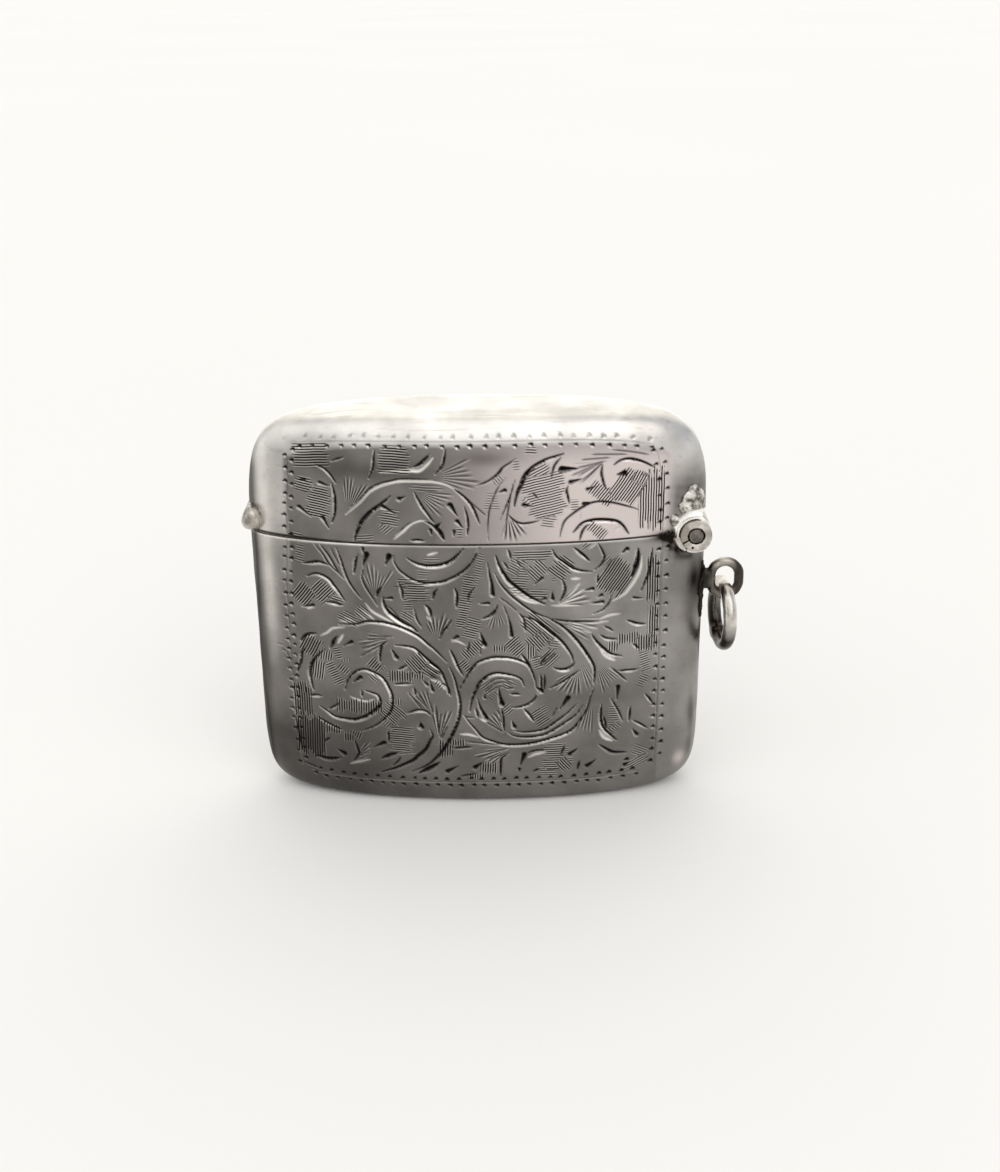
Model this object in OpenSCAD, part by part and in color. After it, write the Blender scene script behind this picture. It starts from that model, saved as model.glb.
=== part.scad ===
// Vesta case: a pillow-shaped pocket box of sheet silver for wax matches.
// The lid turns on a barrel hinge at the right end, and a ring hangs from a loop below the hinge.
// The origin is the centre of the flat base, +X runs to the hinge end and -Y is the front.

/* [Case] */
// Width of the case at its widest level
case_w = 45; // [38:0.5:56]
// Depth of the case, front to back
case_d = 12; // [10:0.5:16]
// Height of the body's mouth above the base
body_h = 28.4; // [25:0.2:40]
// Height of the lid, from the mouth to the crown
lid_h = 12.4; // [10:0.2:18]
// Height of the widest level above the base
waist_z = 20.7; // [17:0.1:22]
// Thickness of the sheet silver
wall = 0.6; // [0.4:0.05:0.8]
// Squareness of the lid's shoulders, where 2 is an ellipse
shoulder_square = 6.4; // [4:0.2:9]
// Squareness of the corners above the base
foot_square = 11; // [7:0.5:14]
// Depth of the rounded foot that the flat base cuts away
foot_cut = 0.09; // [0.05:0.01:0.3]

/* [Mouth] */
// Open seam between the lid and the body
seam_gap = 0.12; // [0.05:0.01:0.25]
// Thickness of the bezel that the lid closes over
bezel_t = 0.45; // [0.3:0.05:0.7]
// Height of the bezel above the mouth
bezel_rise = 1.8; // [1:0.1:3]
// Depth of the bezel below the mouth
bezel_sink = 2.6; // [1.5:0.1:5]
// Clearance between the bezel and the lid
lid_clear = 0.12; // [0.08:0.01:0.2]
// Film of solder between fixed pieces
solder_gap = 0.03; // [0.02:0.01:0.06]
// Room between the ends of the bezel and the hinge
bezel_relief = 0.4; // [0.2:0.1:1.5]

/* [Striker] */
// Height of the rib crests above the base, so that the rim alone stands on a table
striker_recess = 0.1; // [0.05:0.05:0.2]
// Thickness of the flange that lies on the floor inside
striker_flange_t = 0.5; // [0.3:0.05:0.8]
// Room between the flange and the foot of the walls
striker_room = 0.25; // [0.1:0.05:0.6]
// Lap of the flange over the opening in the floor
striker_lap = 0.7; // [0.4:0.1:1]
// Spacing of the striking ribs
rib_pitch = 0.9; // [0.6:0.05:1.4]
// Depth of the grooves between the ribs
rib_depth = 0.3; // [0.15:0.05:0.4]

/* [Hinge] */
// Distance of the hinge axis in from the end of the case
hinge_inset = 1.3; // [1.1:0.05:1.5]
// Outer diameter of the knuckles
knuckle_d = 3.1; // [2.8:0.1:3.4]
// Length of the three knuckles together
barrel_l = 8; // [7:0.2:10]
// Length of the lid's knuckle in the middle
lid_knuckle_l = 3.1; // [2.4:0.1:3.6]
// Gap between neighbouring knuckles
knuckle_gap = 0.08; // [0.04:0.01:0.15]
// Diameter of the hinge pin
pin_d = 1.3; // [0.9:0.05:1.5]
// Running clearance of the pin in the lid's knuckle, on the radius
pin_clear = 0.03; // [0.02:0.01:0.06]
// Thickness of the bearers that the knuckles are soldered to
bearer_t = 0.45; // [0.3:0.05:0.6]
// Clearance between a bearer and the knuckles that turn in it
hinge_clear = 0.08; // [0.05:0.01:0.12]
// Clearance between the lid's hood and the notch in the body
notch_clear = 0.12; // [0.08:0.01:0.2]
// Length of the lid's hood over the barrel
hood_l = 7.2; // [5:0.1:7.8]
// Angle at which the hood starts, from the hinge end upwards
hood_from = 76; // [70:1:90]
// Angle at which the hood ends, just under the seam
hood_to = 188; // [180:1:192]
// Length of the body's trough under the barrel
trough_l = 5.2; // [4.6:0.1:6.4]
// Angle at which the trough starts, on the inner side
trough_from = 200; // [196:1:215]
// Angle at which the trough ends, at the end wall
trough_to = 305; // [280:1:308]

/* [Thumb piece] */
// Diameter of the thumb piece
thumb_d = 2.05; // [1.6:0.05:2.6]
// Length of the thumb piece, front to back
thumb_l = 3.4; // [2.8:0.1:5]
// Depth to which its axis lies inside the end of the lid
thumb_sink = 0.35; // [0.1:0.05:0.6]

/* [Loop and ring] */
// Width of the loop
loop_od = 3.7; // [3.6:0.1:4.6]
// Straight length of the loop's sides, which wear draws out
loop_stretch = 0.7; // [0.2:0.1:1.5]
// Wire of the loop
loop_wire = 0.9; // [0.7:0.05:0.95]
// Distance of the loop's centre out from the end of the case
loop_stand = 2.2; // [2.1:0.05:3]
// Distance of the centre of the loop's upper bend below the mouth
loop_drop = 5.55; // [5:0.05:9]
// Diameter of the foot that joins the loop to the case
loop_foot_d = 1.4; // [1:0.1:1.8]
// Outer diameter of the hanging ring
ring_od = 7.3; // [6.6:0.1:9]
// Wire of the hanging ring
ring_wire = 1.3; // [1:0.05:1.35]
// Gap between the ring and the bottom of the loop
ring_rest = 0.08; // [0.05:0.01:0.12]
// Turn of the ring about the upright, front limb outwards
ring_turn = 8; // [0:1:10]

/* [Hidden] */
silver = "silver";
bright = "gainsboro";
shade = "darkgray";
steel = "dimgray";
// Points around each level of the case, a multiple of four so that the halves part at corners
around = 72;
// Levels of the outer skins and of the inner ones
skin_levels = 12;
lining_levels = 7;
// Turn of the shoulder at which the crown is taken as flat
crown_turn = 86;
// Overlap of cutting tools past the faces that they open
past = 1;
half_w = case_w / 2;
half_d = case_d / 2;
crown_z = body_h + lid_h;
hinge_x = half_w - hinge_inset;
knuckle_r = knuckle_d / 2;
hood_r = knuckle_r + hinge_clear + bearer_t;
trough_r = hood_r + notch_clear;
bezel_end = hinge_x - trough_r - bezel_relief;
lid_inset = wall + lid_clear;
loop_x = half_w + loop_stand;
loop_z = body_h - loop_drop;
loop_r = (loop_od - loop_wire) / 2;
ring_r = (ring_od - ring_wire) / 2;
ring_z = loop_z - loop_stretch - loop_r + (loop_wire + ring_wire) / 2 + ring_rest;

// The case's upright outline is two superellipses that meet at the widest level, and every level is an
// ellipse. Both follow from a turn: -90 is the bottom of the foot, 0 the widest level, 90 the crown.
function crown_reach(inset) = crown_z - waist_z - inset;
function foot_reach(inset) = waist_z + foot_cut - inset;
function level_z(turn, inset) = turn > 0
  ? waist_z + crown_reach(inset) * pow(sin(turn), 2 / shoulder_square)
  : waist_z - foot_reach(inset) * pow(sin(-turn), 2 / foot_square);
function level_share(turn) = pow(cos(turn), 2 / (turn > 0 ? shoulder_square : foot_square));
function turn_at(z, inset) = z > waist_z
  ? asin(pow((z - waist_z) / crown_reach(inset), shoulder_square / 2))
  : -asin(pow((waist_z - z) / foot_reach(inset), foot_square / 2));
function level_ring(turn, inset) = [for (i = [0:around - 1])
  let (a = 360 * i / around, share = level_share(turn))
  [(half_w - inset) * share * cos(a), (half_d - inset) * share * sin(a), level_z(turn, inset)]];

// Solid loft of the case's form, set in by inset, between two turns
module loft(inset, turn_lo, turn_hi, steps) {
  rings = [for (k = [0:steps]) level_ring(turn_lo + (turn_hi - turn_lo) * k / steps, inset)];
  points = [for (ring = rings) each ring];
  bottom = [for (i = [0:around - 1]) i];
  top = [for (i = [around - 1:-1:0]) steps * around + i];
  sides = [for (k = [0:steps - 1], i = [0:around - 1])
    let (j = (i + 1) % around, lo = k * around, hi = lo + around)
    [lo + i, hi + i, hi + j, lo + j]];
  polyhedron(points, concat([bottom, top], sides));
}

// Form of the case between two heights
module form(inset, z_lo, z_hi, steps) {
  loft(inset, turn_at(z_lo, inset), turn_at(z_hi, inset), steps);
}

// Form of the lid from a height up to the crown
module dome(inset, z_lo, steps) {
  loft(inset, turn_at(z_lo, inset), crown_turn, steps);
}

// Half-space on the front (-1) or the back (1) of the case
module side_of(side) {
  translate([-case_w, side < 0 ? -case_d : 0, -past]) cube([2 * case_w, case_d, crown_z + 2 * past]);
}

// Solid cylinder along the hinge axis, between two places on Y
module hinge_bar(r, y_lo, y_hi) {
  translate([hinge_x, y_hi, body_h]) rotate([90, 0, 0]) cylinder(r = r, h = y_hi - y_lo, $fn = 48);
}

// Part of a tube about the hinge axis, from one angle to another
module hinge_sector(r_in, r_out, from, to, length) {
  translate([hinge_x, 0, body_h]) rotate([90, 0, 0]) rotate([0, 0, from])
    rotate_extrude(angle = to - from, $fn = 96)
      translate([r_in, -length / 2]) square([r_out - r_in, length]);
}

// Upright slab of elliptical outline
module oval(rx, ry, z_lo, z_hi) {
  translate([0, 0, z_lo]) scale([1, ry / rx, 1]) cylinder(r = rx, h = z_hi - z_lo, $fn = 180);
}

// Half-axes of the floor inside the foot, then of the striker's flange and of its boss
floor_share = level_share(turn_at(wall, wall));
flange_rx = (half_w - wall) * floor_share - striker_room;
flange_ry = (half_d - wall) * floor_share - striker_room;
boss_rx = flange_rx - striker_lap;
boss_ry = flange_ry - striker_lap;

// One stamped half of the body: wall, rounded foot and floor, notched for the hinge
module body_half(side) {
  difference() {
    intersection() {
      form(0, 0, body_h, skin_levels);
      side_of(side);
    }
    form(wall, wall, body_h + past, lining_levels);
    oval(boss_rx + solder_gap, boss_ry + solder_gap, -past, wall + past);
    hinge_bar(trough_r, -case_d, case_d);
  }
}

module body_front() {
  color(silver) body_half(-1);
}

module body_back() {
  color(silver) body_half(1);
}

// Serrated base plate on which matches are struck, let into the floor from inside
module striker_plate() {
  count = floor(boss_rx / rib_pitch);
  color(shade) difference() {
    union() {
      oval(flange_rx, flange_ry, wall, wall + striker_flange_t);
      oval(boss_rx, boss_ry, striker_recess, wall);
    }
    for (i = [-count:count])
      translate([i * rib_pitch, 0, striker_recess]) rotate([90, 0, 0])
        linear_extrude(case_d, center = true)
          polygon([[-rib_pitch / 2, -past], [rib_pitch / 2, -past], [rib_pitch / 2, 0],
                   [0, rib_depth], [-rib_pitch / 2, 0]]);
  }
}

// Inner rim of the mouth, soldered in the body, which the lid closes over
module mouth_bezel() {
  z_lo = body_h - bezel_sink;
  z_hi = body_h + bezel_rise;
  color(bright) difference() {
    union() {
      form(wall + solder_gap, z_lo, body_h, 1);
      form(lid_inset, body_h - bezel_t, z_hi, 1);
    }
    form(lid_inset + bezel_t, z_lo - past, z_hi + past, 2);
    translate([bezel_end, -case_d, z_lo - past]) cube([case_w, 2 * case_d, z_hi - z_lo + 2 * past]);
  }
}

// Bearer under the barrel: the body's knuckles are soldered in its ends
module hinge_trough() {
  relief = lid_knuckle_l / 2 + knuckle_gap;
  color(shade) difference() {
    hinge_sector(knuckle_r, trough_r, trough_from, trough_to, trough_l);
    hinge_bar(knuckle_r + hinge_clear, -relief, relief);
  }
}

// Tube of the barrel between two places on Y
module knuckle(bore_r, y_lo, y_hi) {
  difference() {
    hinge_bar(knuckle_r, y_lo, y_hi);
    hinge_bar(bore_r, y_lo - past, y_hi + past);
  }
}

module knuckle_front() {
  color(bright) knuckle(pin_d / 2, -barrel_l / 2, -lid_knuckle_l / 2 - knuckle_gap);
}

module knuckle_rear() {
  color(bright) knuckle(pin_d / 2, lid_knuckle_l / 2 + knuckle_gap, barrel_l / 2);
}

module knuckle_lid() {
  color(bright) knuckle(pin_d / 2 + pin_clear, -lid_knuckle_l / 2, lid_knuckle_l / 2);
}

// Pin pressed in the body's knuckles, running free in the lid's
module hinge_pin() {
  color(steel) hinge_bar(pin_d / 2, -barrel_l / 2, barrel_l / 2);
}

// Half bend of the loop's wire, turned up (0) or down (180)
module loop_bend(turn) {
  rotate([90, turn, 0]) rotate_extrude(angle = 180, $fn = 64)
    translate([loop_r, 0]) circle(d = loop_wire, $fn = 32);
}

// Wire loop with straight sides on a short foot, soldered to the end wall below the hinge
module chain_loop() {
  color(bright) difference() {
    union() {
      translate([loop_x, 0, loop_z]) loop_bend(0);
      translate([loop_x, 0, loop_z - loop_stretch]) {
        loop_bend(180);
        for (x = [-loop_r, loop_r])
          translate([x, 0, 0]) cylinder(d = loop_wire, h = loop_stretch, $fn = 32);
      }
      translate([half_w - wall, 0, loop_z - loop_stretch / 2]) rotate([0, 90, 0])
        cylinder(d = loop_foot_d, h = loop_stand + wall - loop_r, $fn = 32);
    }
    form(0, loop_z - loop_od, body_h, 2);
  }
}

// One stamped half of the lid, cut out over the barrel
module lid_half(side) {
  difference() {
    intersection() {
      dome(0, body_h + seam_gap, skin_levels);
      side_of(side);
    }
    dome(wall, body_h - past, lining_levels);
    hinge_bar(hood_r, -case_d, case_d);
  }
}

module lid_front() {
  color(silver) lid_half(-1);
}

module lid_back() {
  color(silver) lid_half(1);
}

// Bearer over the barrel: the lid's knuckle is soldered in its middle
module hinge_hood() {
  relief = lid_knuckle_l / 2 + knuckle_gap / 2;
  color(bright) difference() {
    hinge_sector(knuckle_r, hood_r, hood_from, hood_to, hood_l);
    hinge_bar(knuckle_r + hinge_clear, -hood_l, -relief);
    hinge_bar(knuckle_r + hinge_clear, relief, hood_l);
  }
}

// Round-ended bar on the left end of the lid, seated on its curve
module thumb_piece() {
  reach = (thumb_l - thumb_d) / 2;
  color(bright) difference() {
    translate([thumb_sink - half_w, 0, body_h + seam_gap + thumb_d / 2]) {
      rotate([90, 0, 0]) cylinder(d = thumb_d, h = 2 * reach, center = true, $fn = 48);
      for (y = [-reach, reach])
        translate([0, y, 0]) sphere(d = thumb_d, $fn = 48);
    }
    form(0, body_h - past, body_h + thumb_d + past, 3);
  }
}

// Ring that hangs through the loop
module chain_ring() {
  color(bright) translate([loop_x, 0, ring_z]) rotate([0, 0, ring_turn]) translate([0, 0, -ring_r])
    rotate([0, 90, 0]) rotate_extrude($fn = 96) translate([ring_r, 0]) circle(d = ring_wire, $fn = 32);
}

body_front();
body_back();
striker_plate();
mouth_bezel();
hinge_trough();
knuckle_front();
knuckle_rear();
hinge_pin();
chain_loop();
lid_front();
lid_back();
hinge_hood();
knuckle_lid();
thumb_piece();
chain_ring();
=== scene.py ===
import math
import bpy
import bmesh
import numpy as np
from mathutils import Matrix, Vector, noise


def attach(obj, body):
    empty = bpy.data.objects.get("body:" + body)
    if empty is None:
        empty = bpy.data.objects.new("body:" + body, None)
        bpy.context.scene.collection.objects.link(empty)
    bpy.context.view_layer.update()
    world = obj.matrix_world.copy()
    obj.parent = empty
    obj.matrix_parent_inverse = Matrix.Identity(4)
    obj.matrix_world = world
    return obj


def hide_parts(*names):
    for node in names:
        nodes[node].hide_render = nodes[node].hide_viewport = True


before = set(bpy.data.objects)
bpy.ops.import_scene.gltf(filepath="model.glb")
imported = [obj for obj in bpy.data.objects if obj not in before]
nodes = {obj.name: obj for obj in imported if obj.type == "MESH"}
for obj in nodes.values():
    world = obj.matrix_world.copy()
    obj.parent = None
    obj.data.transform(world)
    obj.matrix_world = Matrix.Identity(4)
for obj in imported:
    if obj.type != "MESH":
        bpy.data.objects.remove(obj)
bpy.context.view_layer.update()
mm = 0.001
print("frame loaded:", len(nodes), "nodes")

# Sizes of the case in millimetres, as in the CAD model
case = {
    "halfWidth": 22.5, "halfDepth": 6.0, "waist": 20.7, "crown": 40.8, "footCut": 0.09,
    "shoulderSquare": 6.4, "footSquare": 11.0, "crownTurn": 86.0, "wall": 0.6, "mouth": 28.4,
    "seam": 0.12, "hingeX": 21.2, "hingeZ": 28.4, "bodyNotch": 2.2, "lidNotch": 2.08,
    "strikerHole": (15.7, 3.18),
}


def toLinear(hexText):
    parts = [int(hexText[i:i + 2], 16) / 255 for i in (1, 3, 5)]
    return tuple(c / 12.92 if c <= 0.04045 else ((c + 0.055) / 1.055) ** 2.4 for c in parts) + (1.0,)


def addNode(tree, kind, inputs=None, out=0, **settings):
    # an input that is a socket is linked, any other value is set
    node = tree.nodes.new("ShaderNode" + kind)
    for key, value in settings.items():
        setattr(node, key, value)
    for key, value in (inputs or {}).items():
        if isinstance(value, bpy.types.NodeSocket):
            tree.links.new(value, node.inputs[key])
        else:
            node.inputs[key].default_value = value
    return node.outputs[out]


def newMaterial(name):
    material = bpy.data.materials.new(name)
    material.use_nodes = True
    tree = material.node_tree
    return material, tree, tree.nodes["Principled BSDF"], addNode(tree, "TexCoord", out="Object")


def addPiece(mesh, body, slot, node, *finishes):
    for finish in finishes:
        mesh.materials.append(metals[finish])
    piece = bpy.data.objects.new(mesh.name, mesh)
    bpy.context.scene.collection.objects.link(piece)
    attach(piece, body)
    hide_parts(node)


# Camera at the photograph's angle
camera = {
    "target": (0, 0, 0.02073), "elevation": 22.626, "azimuth": 1.536, "roll": -1.026,
    "distance": 0.150, "lens": 45.63, "sensor": 36, "shiftX": 0.01843, "shiftY": 0.00845,
    "clip": (0.001, 100),
}


def addCamera():
    e, a, t = (math.radians(camera[k]) for k in ("elevation", "azimuth", "roll"))
    back = Vector((math.sin(a) * math.cos(e), -math.cos(a) * math.cos(e), math.sin(e)))
    right = Vector((math.cos(a), math.sin(a), 0))
    up = back.cross(right)
    rolledRight = math.cos(t) * right + math.sin(t) * up
    rolledUp = math.cos(t) * up - math.sin(t) * right
    data = bpy.data.cameras.new("camera")
    data.lens = camera["lens"]
    data.sensor_width = camera["sensor"]
    data.shift_x = camera["shiftX"]
    data.shift_y = camera["shiftY"]
    data.clip_start, data.clip_end = camera["clip"]
    view = bpy.data.objects.new("camera", data)
    turn = Matrix((rolledRight, rolledUp, back)).transposed().to_4x4()
    view.matrix_world = Matrix.Translation(Vector(camera["target"]) + back * camera["distance"]) @ turn
    bpy.context.scene.collection.objects.link(view)
    bpy.context.scene.camera = view


addCamera()
print("camera set")

# Sterling silver sheet, struck, hand engraved and polished for a century: a soft grey mirror with fine
# polishing hairlines and dark tarnish left in the cuts. Its colour also paints light: painted shade and
# painted highlights on the cut walls, a toned field that is part tarnish and part painted dark reflection,
# painted reflections on the ends and a painted warm reflection on the lid's right part
sheetLook = {
    "bright": "#F7F4EE", "dull": "#D2CFC9", "warm": "#D8CDCA", "toned": "#676461",
    "tonedLight": "#7E7A77", "cut": "#120F0D", "stainAndShade": "#241F1C", "streak": "#A39A8C",
    "roughness": 0.33, "roughSpread": 0.10, "cutRough": 0.15, "stainRough": 0.35,
    "patchMm": 5.0, "hairMm": 0.16, "hairBump": 0.05, "hairStretch": (0.06, 1.0, 1.0),
    "streakMm": 0.45, "streakTurn": (0.0, 14.0, 24.0), "streakStretch": (0.05, 1.0, 1.0), "streakMost": 0.3,
    # shading lines: place across the pitch, and where the wave starts and is full
    "groove": (0.0, -0.15, 0.5), "burrHighlight": (0.4, 0.3, 0.95), "burrHighlightMost": 0.9, "burrHighlightFade": -0.5,
    "grooveBump": 0.5, "grooveDeep": 0.00004, "hairDeep": 0.0001,
}


def sheetSilver():
    look = sheetLook
    material, tree, shader, place = newMaterial("engravedSterlingSilver")
    cut, field, stainAndShade, warmReflectionAndDent, lineTone, linePhase = (
        addNode(tree, "Attribute", out="Fac", attribute_name=label)
        for label in ("cutTone", "fieldToneAndPaintedReflection", "stainAndShadeTone", "warmReflectionAndDentTone", "lineTone", "linePhase"))
    # fine shading lines: a dark groove and beside it a painted highlight for the lit side of its burr, which
    # fades where the lines are strong
    fade = {0: lineTone, 1: look["burrHighlightFade"], 2: look["burrHighlightMost"]}
    weight = addNode(tree, "Math", fade, operation="MULTIPLY_ADD")
    weight = addNode(tree, "Math", {0: lineTone, 1: weight}, operation="MULTIPLY")
    lines = []
    for (shift, low, high), strength in ((look["groove"], lineTone), (look["burrHighlight"], weight)):
        turned = {0: linePhase, 1: 2 * math.pi, 2: 2 * math.pi * shift}
        turn = addNode(tree, "Math", turned, operation="MULTIPLY_ADD")
        wave = addNode(tree, "Math", {0: turn}, operation="SINE")
        crest = addNode(tree, "MapRange", {"Value": wave, "From Min": low, "From Max": high})
        lines.append(addNode(tree, "Math", {0: crest, 1: strength}, operation="MULTIPLY"))
    scored, burrHighlight = lines
    cut = addNode(tree, "Math", {0: cut, 1: scored}, operation="MAXIMUM")
    outsideHighlight = addNode(tree, "Math", {0: 1.0, 1: burrHighlight}, operation="SUBTRACT")
    field = addNode(tree, "Math", {0: field, 1: outsideHighlight}, operation="MULTIPLY")
    # clouds, hairlines along the case, and long faint wear scratches that slant; the real hairlines are
    # finer, and these are as coarse as they need to be to show
    drawn = addNode(tree, "Mapping", {"Vector": place, "Scale": look["hairStretch"]})
    slant = [math.radians(t) for t in look["streakTurn"]]
    slant = addNode(tree, "Mapping", {"Vector": place, "Rotation": slant, "Scale": look["streakStretch"]})
    patch, hair, scuff = (
        addNode(tree, "TexNoise", {"Vector": vector, "Scale": 1000 / look[size], "Detail": detail}, "Fac")
        for vector, size, detail in (
            (place, "patchMm", 5.0), (drawn, "hairMm", 3.0), (slant, "streakMm", 2.0)))
    cloud = addNode(tree, "MapRange", {"Value": patch, "From Min": 0.35, "From Max": 0.65})
    bare, tarnishAndDarkReflection = (
        addNode(tree, "Mix", {0: cloud, 6: toLinear(look[a]), 7: toLinear(look[b])}, 2, data_type="RGBA")
        for a, b in (("dull", "bright"), ("toned", "tonedLight")))
    streak = addNode(tree, "MapRange", {
        "Value": scuff, "From Min": 0.6, "From Max": 0.72, "To Max": look["streakMost"]})
    # from the bare metal up: scratches, toning of the field (part tarnish, part painted reflection), painted
    # warm reflection and a worn dent, stains with painted shadow and reflection, dark cuts with painted shade
    shown = bare
    layers = ((streak, toLinear(look["streak"])), (field, tarnishAndDarkReflection), (warmReflectionAndDent, toLinear(look["warm"])),
              (stainAndShade, toLinear(look["stainAndShade"])), (cut, toLinear(look["cut"])))
    for share, colour in layers:
        shown = addNode(tree, "Mix", {0: share, 6: shown, 7: colour}, 2, data_type="RGBA")
    tree.links.new(shown, shader.inputs["Base Color"])
    least, most = (look["roughness"] + k * look["roughSpread"] / 2 for k in (-1, 1))
    rough = addNode(tree, "MapRange", {
        "Value": hair, "From Min": 0.3, "From Max": 0.7, "To Min": least, "To Max": most})
    for share, more in ((cut, look["cutRough"]), (stainAndShade, look["stainRough"])):
        rough = addNode(tree, "Math", {0: share, 1: more, 2: rough}, operation="MULTIPLY_ADD")
    tree.links.new(rough, shader.inputs["Roughness"])
    shader.inputs["Metallic"].default_value = 1.0
    bump = addNode(tree, "Bump", {"Height": hair, "Strength": look["hairBump"], "Distance": look["hairDeep"]})
    sunk = {"Height": scored, "Normal": bump, "Strength": look["grooveBump"], "Distance": look["grooveDeep"]}
    bump = addNode(tree, "Bump", sunk, invert=True)
    tree.links.new(bump, shader.inputs["Normal"])
    return material


# The other finishes of the same silver: tarnished inside the case, sawn and soldered at the hinge, drawn
# wire, a cut file pattern on the striker, and the plain metal of the pin. A fade is painted shade: it goes to
# a darker colour along an axis, from its start to its end in millimetres
otherLooks = {
    "dullSilverLining": {
        "bright": "#D9D4CA", "dull": "#B3ADA2", "rough": (0.58, 0.75),
        "patchMm": 4.0, "grainMm": 0.25, "bump": 0.08},
    "solderedTubeSilver": {
        "bright": "#EAE6DF", "dull": "#9A948C", "rough": (0.28, 0.45),
        "patchMm": 1.6, "grainMm": 0.18, "bump": 0.22,
        "pitsMm": 0.5, "pitSize": 0.31, "pitDark": "#1C1815",
        "pitsAt": (("Z", 27.9, 27.5), ("Y", -1.5, -1.9))},
    "rubbedHoodSilver": {
        "bright": "#FBF9F4", "dull": "#D9D5CE", "rough": (0.24, 0.38),
        "patchMm": 1.2, "grainMm": 0.18, "bump": 0.2},
    "ranSolder": {
        "bright": "#E4E0D8", "dull": "#5E5952", "rough": (0.32, 0.5),
        "patchMm": 0.6, "grainMm": 0.18, "bump": 0.3},
    "castBeadSilver": {
        "bright": "#C6C1B9", "dull": "#77716A", "rough": (0.24, 0.38),
        "patchMm": 1.4, "grainMm": 0.2, "bump": 0.14},
    "drawnWireSilver": {
        "bright": "#FBF8F2", "dull": "#B9B3AB", "rough": (0.16, 0.3),
        "patchMm": 2.4, "grainMm": 0.2, "bump": 0.1,
        # painted shade: the ring darkens towards its bottom and on its back limb
        "paintedShadeFades": (("Z", 19.4, 16.9, "#3A322C", 1.0), ("Y", 0.2, 2.4, "#2A2521", 0.8))},
    "tarnishedAndShadedLoopSilver": {
        "bright": "#C4BDB3", "dull": "#6A645D", "rough": (0.22, 0.38),
        "patchMm": 1.8, "grainMm": 0.2, "bump": 0.16,
        # painted shade: the loop darkens towards the wall and on its outer limb
        "paintedShadeFades": (("X", 23.9, 22.9, "#1D1916", 0.9), ("X", 24.7, 25.8, "#2A221D", 0.92))},
    "darkWallLumps": {
        "bright": "#3C3835", "dull": "#141210", "rough": (0.55, 0.75),
        "patchMm": 0.8, "grainMm": 0.16, "bump": 0.5},
    "serratedStrikerSilver": {
        "bright": "#BFBAB2", "dull": "#6E6860", "rough": (0.40, 0.60),
        "patchMm": 2.5, "grainMm": 0.12, "bump": 0.3},
    "filedPinMetal": {
        "bright": "#7C766F", "dull": "#3E3A35", "rough": (0.35, 0.55),
        "patchMm": 0.7, "grainMm": 0.12, "bump": 0.3},
}


def plainMetal(name):
    look = otherLooks[name]
    material, tree, shader, place = newMaterial(name)
    patch, grain = (
        addNode(tree, "TexNoise", {"Vector": place, "Scale": 1000 / look[size], "Detail": detail}, "Fac")
        for size, detail in (("patchMm", 5.0), ("grainMm", 3.0)))
    spread = addNode(tree, "MapRange", {"Value": patch, "From Min": 0.35, "From Max": 0.62})
    ends = {6: toLinear(look["dull"]), 7: toLinear(look["bright"])}
    shown = addNode(tree, "Mix", {0: spread, **ends}, 2, data_type="RGBA")
    along = addNode(tree, "SeparateXYZ", {0: place}).node.outputs
    for axis, start, end, hexText, most in look.get("paintedShadeFades", ()):
        fall = addNode(tree, "MapRange", {
            "Value": along[axis], "From Min": start * mm, "From Max": end * mm, "To Max": most})
        shown = addNode(tree, "Mix", {0: fall, 6: shown, 7: toLinear(hexText)}, 2, data_type="RGBA")
    if "pitsMm" in look:
        # a few pits, gathered low at the front where the tube was filed
        pits = addNode(tree, "TexVoronoi", {"Vector": place, "Scale": 1000 / look["pitsMm"]}, "Distance")
        size = addNode(tree, "MapRange", {
            "Value": patch, "From Min": 0.3, "From Max": 0.45, "To Max": look["pitSize"]})
        for axis, start, end in look["pitsAt"]:
            near = addNode(tree, "MapRange", {
                "Value": along[axis], "From Min": start * mm, "From Max": end * mm})
            size = addNode(tree, "Math", {0: size, 1: near}, operation="MULTIPLY")
        depth = addNode(tree, "Math", {0: size, 1: pits}, operation="SUBTRACT")
        hole = addNode(tree, "MapRange", {"Value": depth, "From Min": 0.0, "From Max": 0.07})
        shown = addNode(tree, "Mix", {0: hole, 6: shown, 7: toLinear(look["pitDark"])}, 2, data_type="RGBA")
    tree.links.new(shown, shader.inputs["Base Color"])
    least, most = look["rough"]
    rough = addNode(tree, "MapRange", {
        "Value": grain, "From Min": 0.3, "From Max": 0.7, "To Min": least, "To Max": most})
    tree.links.new(rough, shader.inputs["Roughness"])
    bump = addNode(tree, "Bump", {"Height": grain, "Strength": look["bump"], "Distance": 0.0001})
    tree.links.new(bump, shader.inputs["Normal"])
    shader.inputs["Metallic"].default_value = 1.0
    return material


metals = {"engravedSterlingSilver": sheetSilver()}
metals.update((name, plainMetal(name)) for name in otherLooks)
print("materials made:", len(metals))
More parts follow.
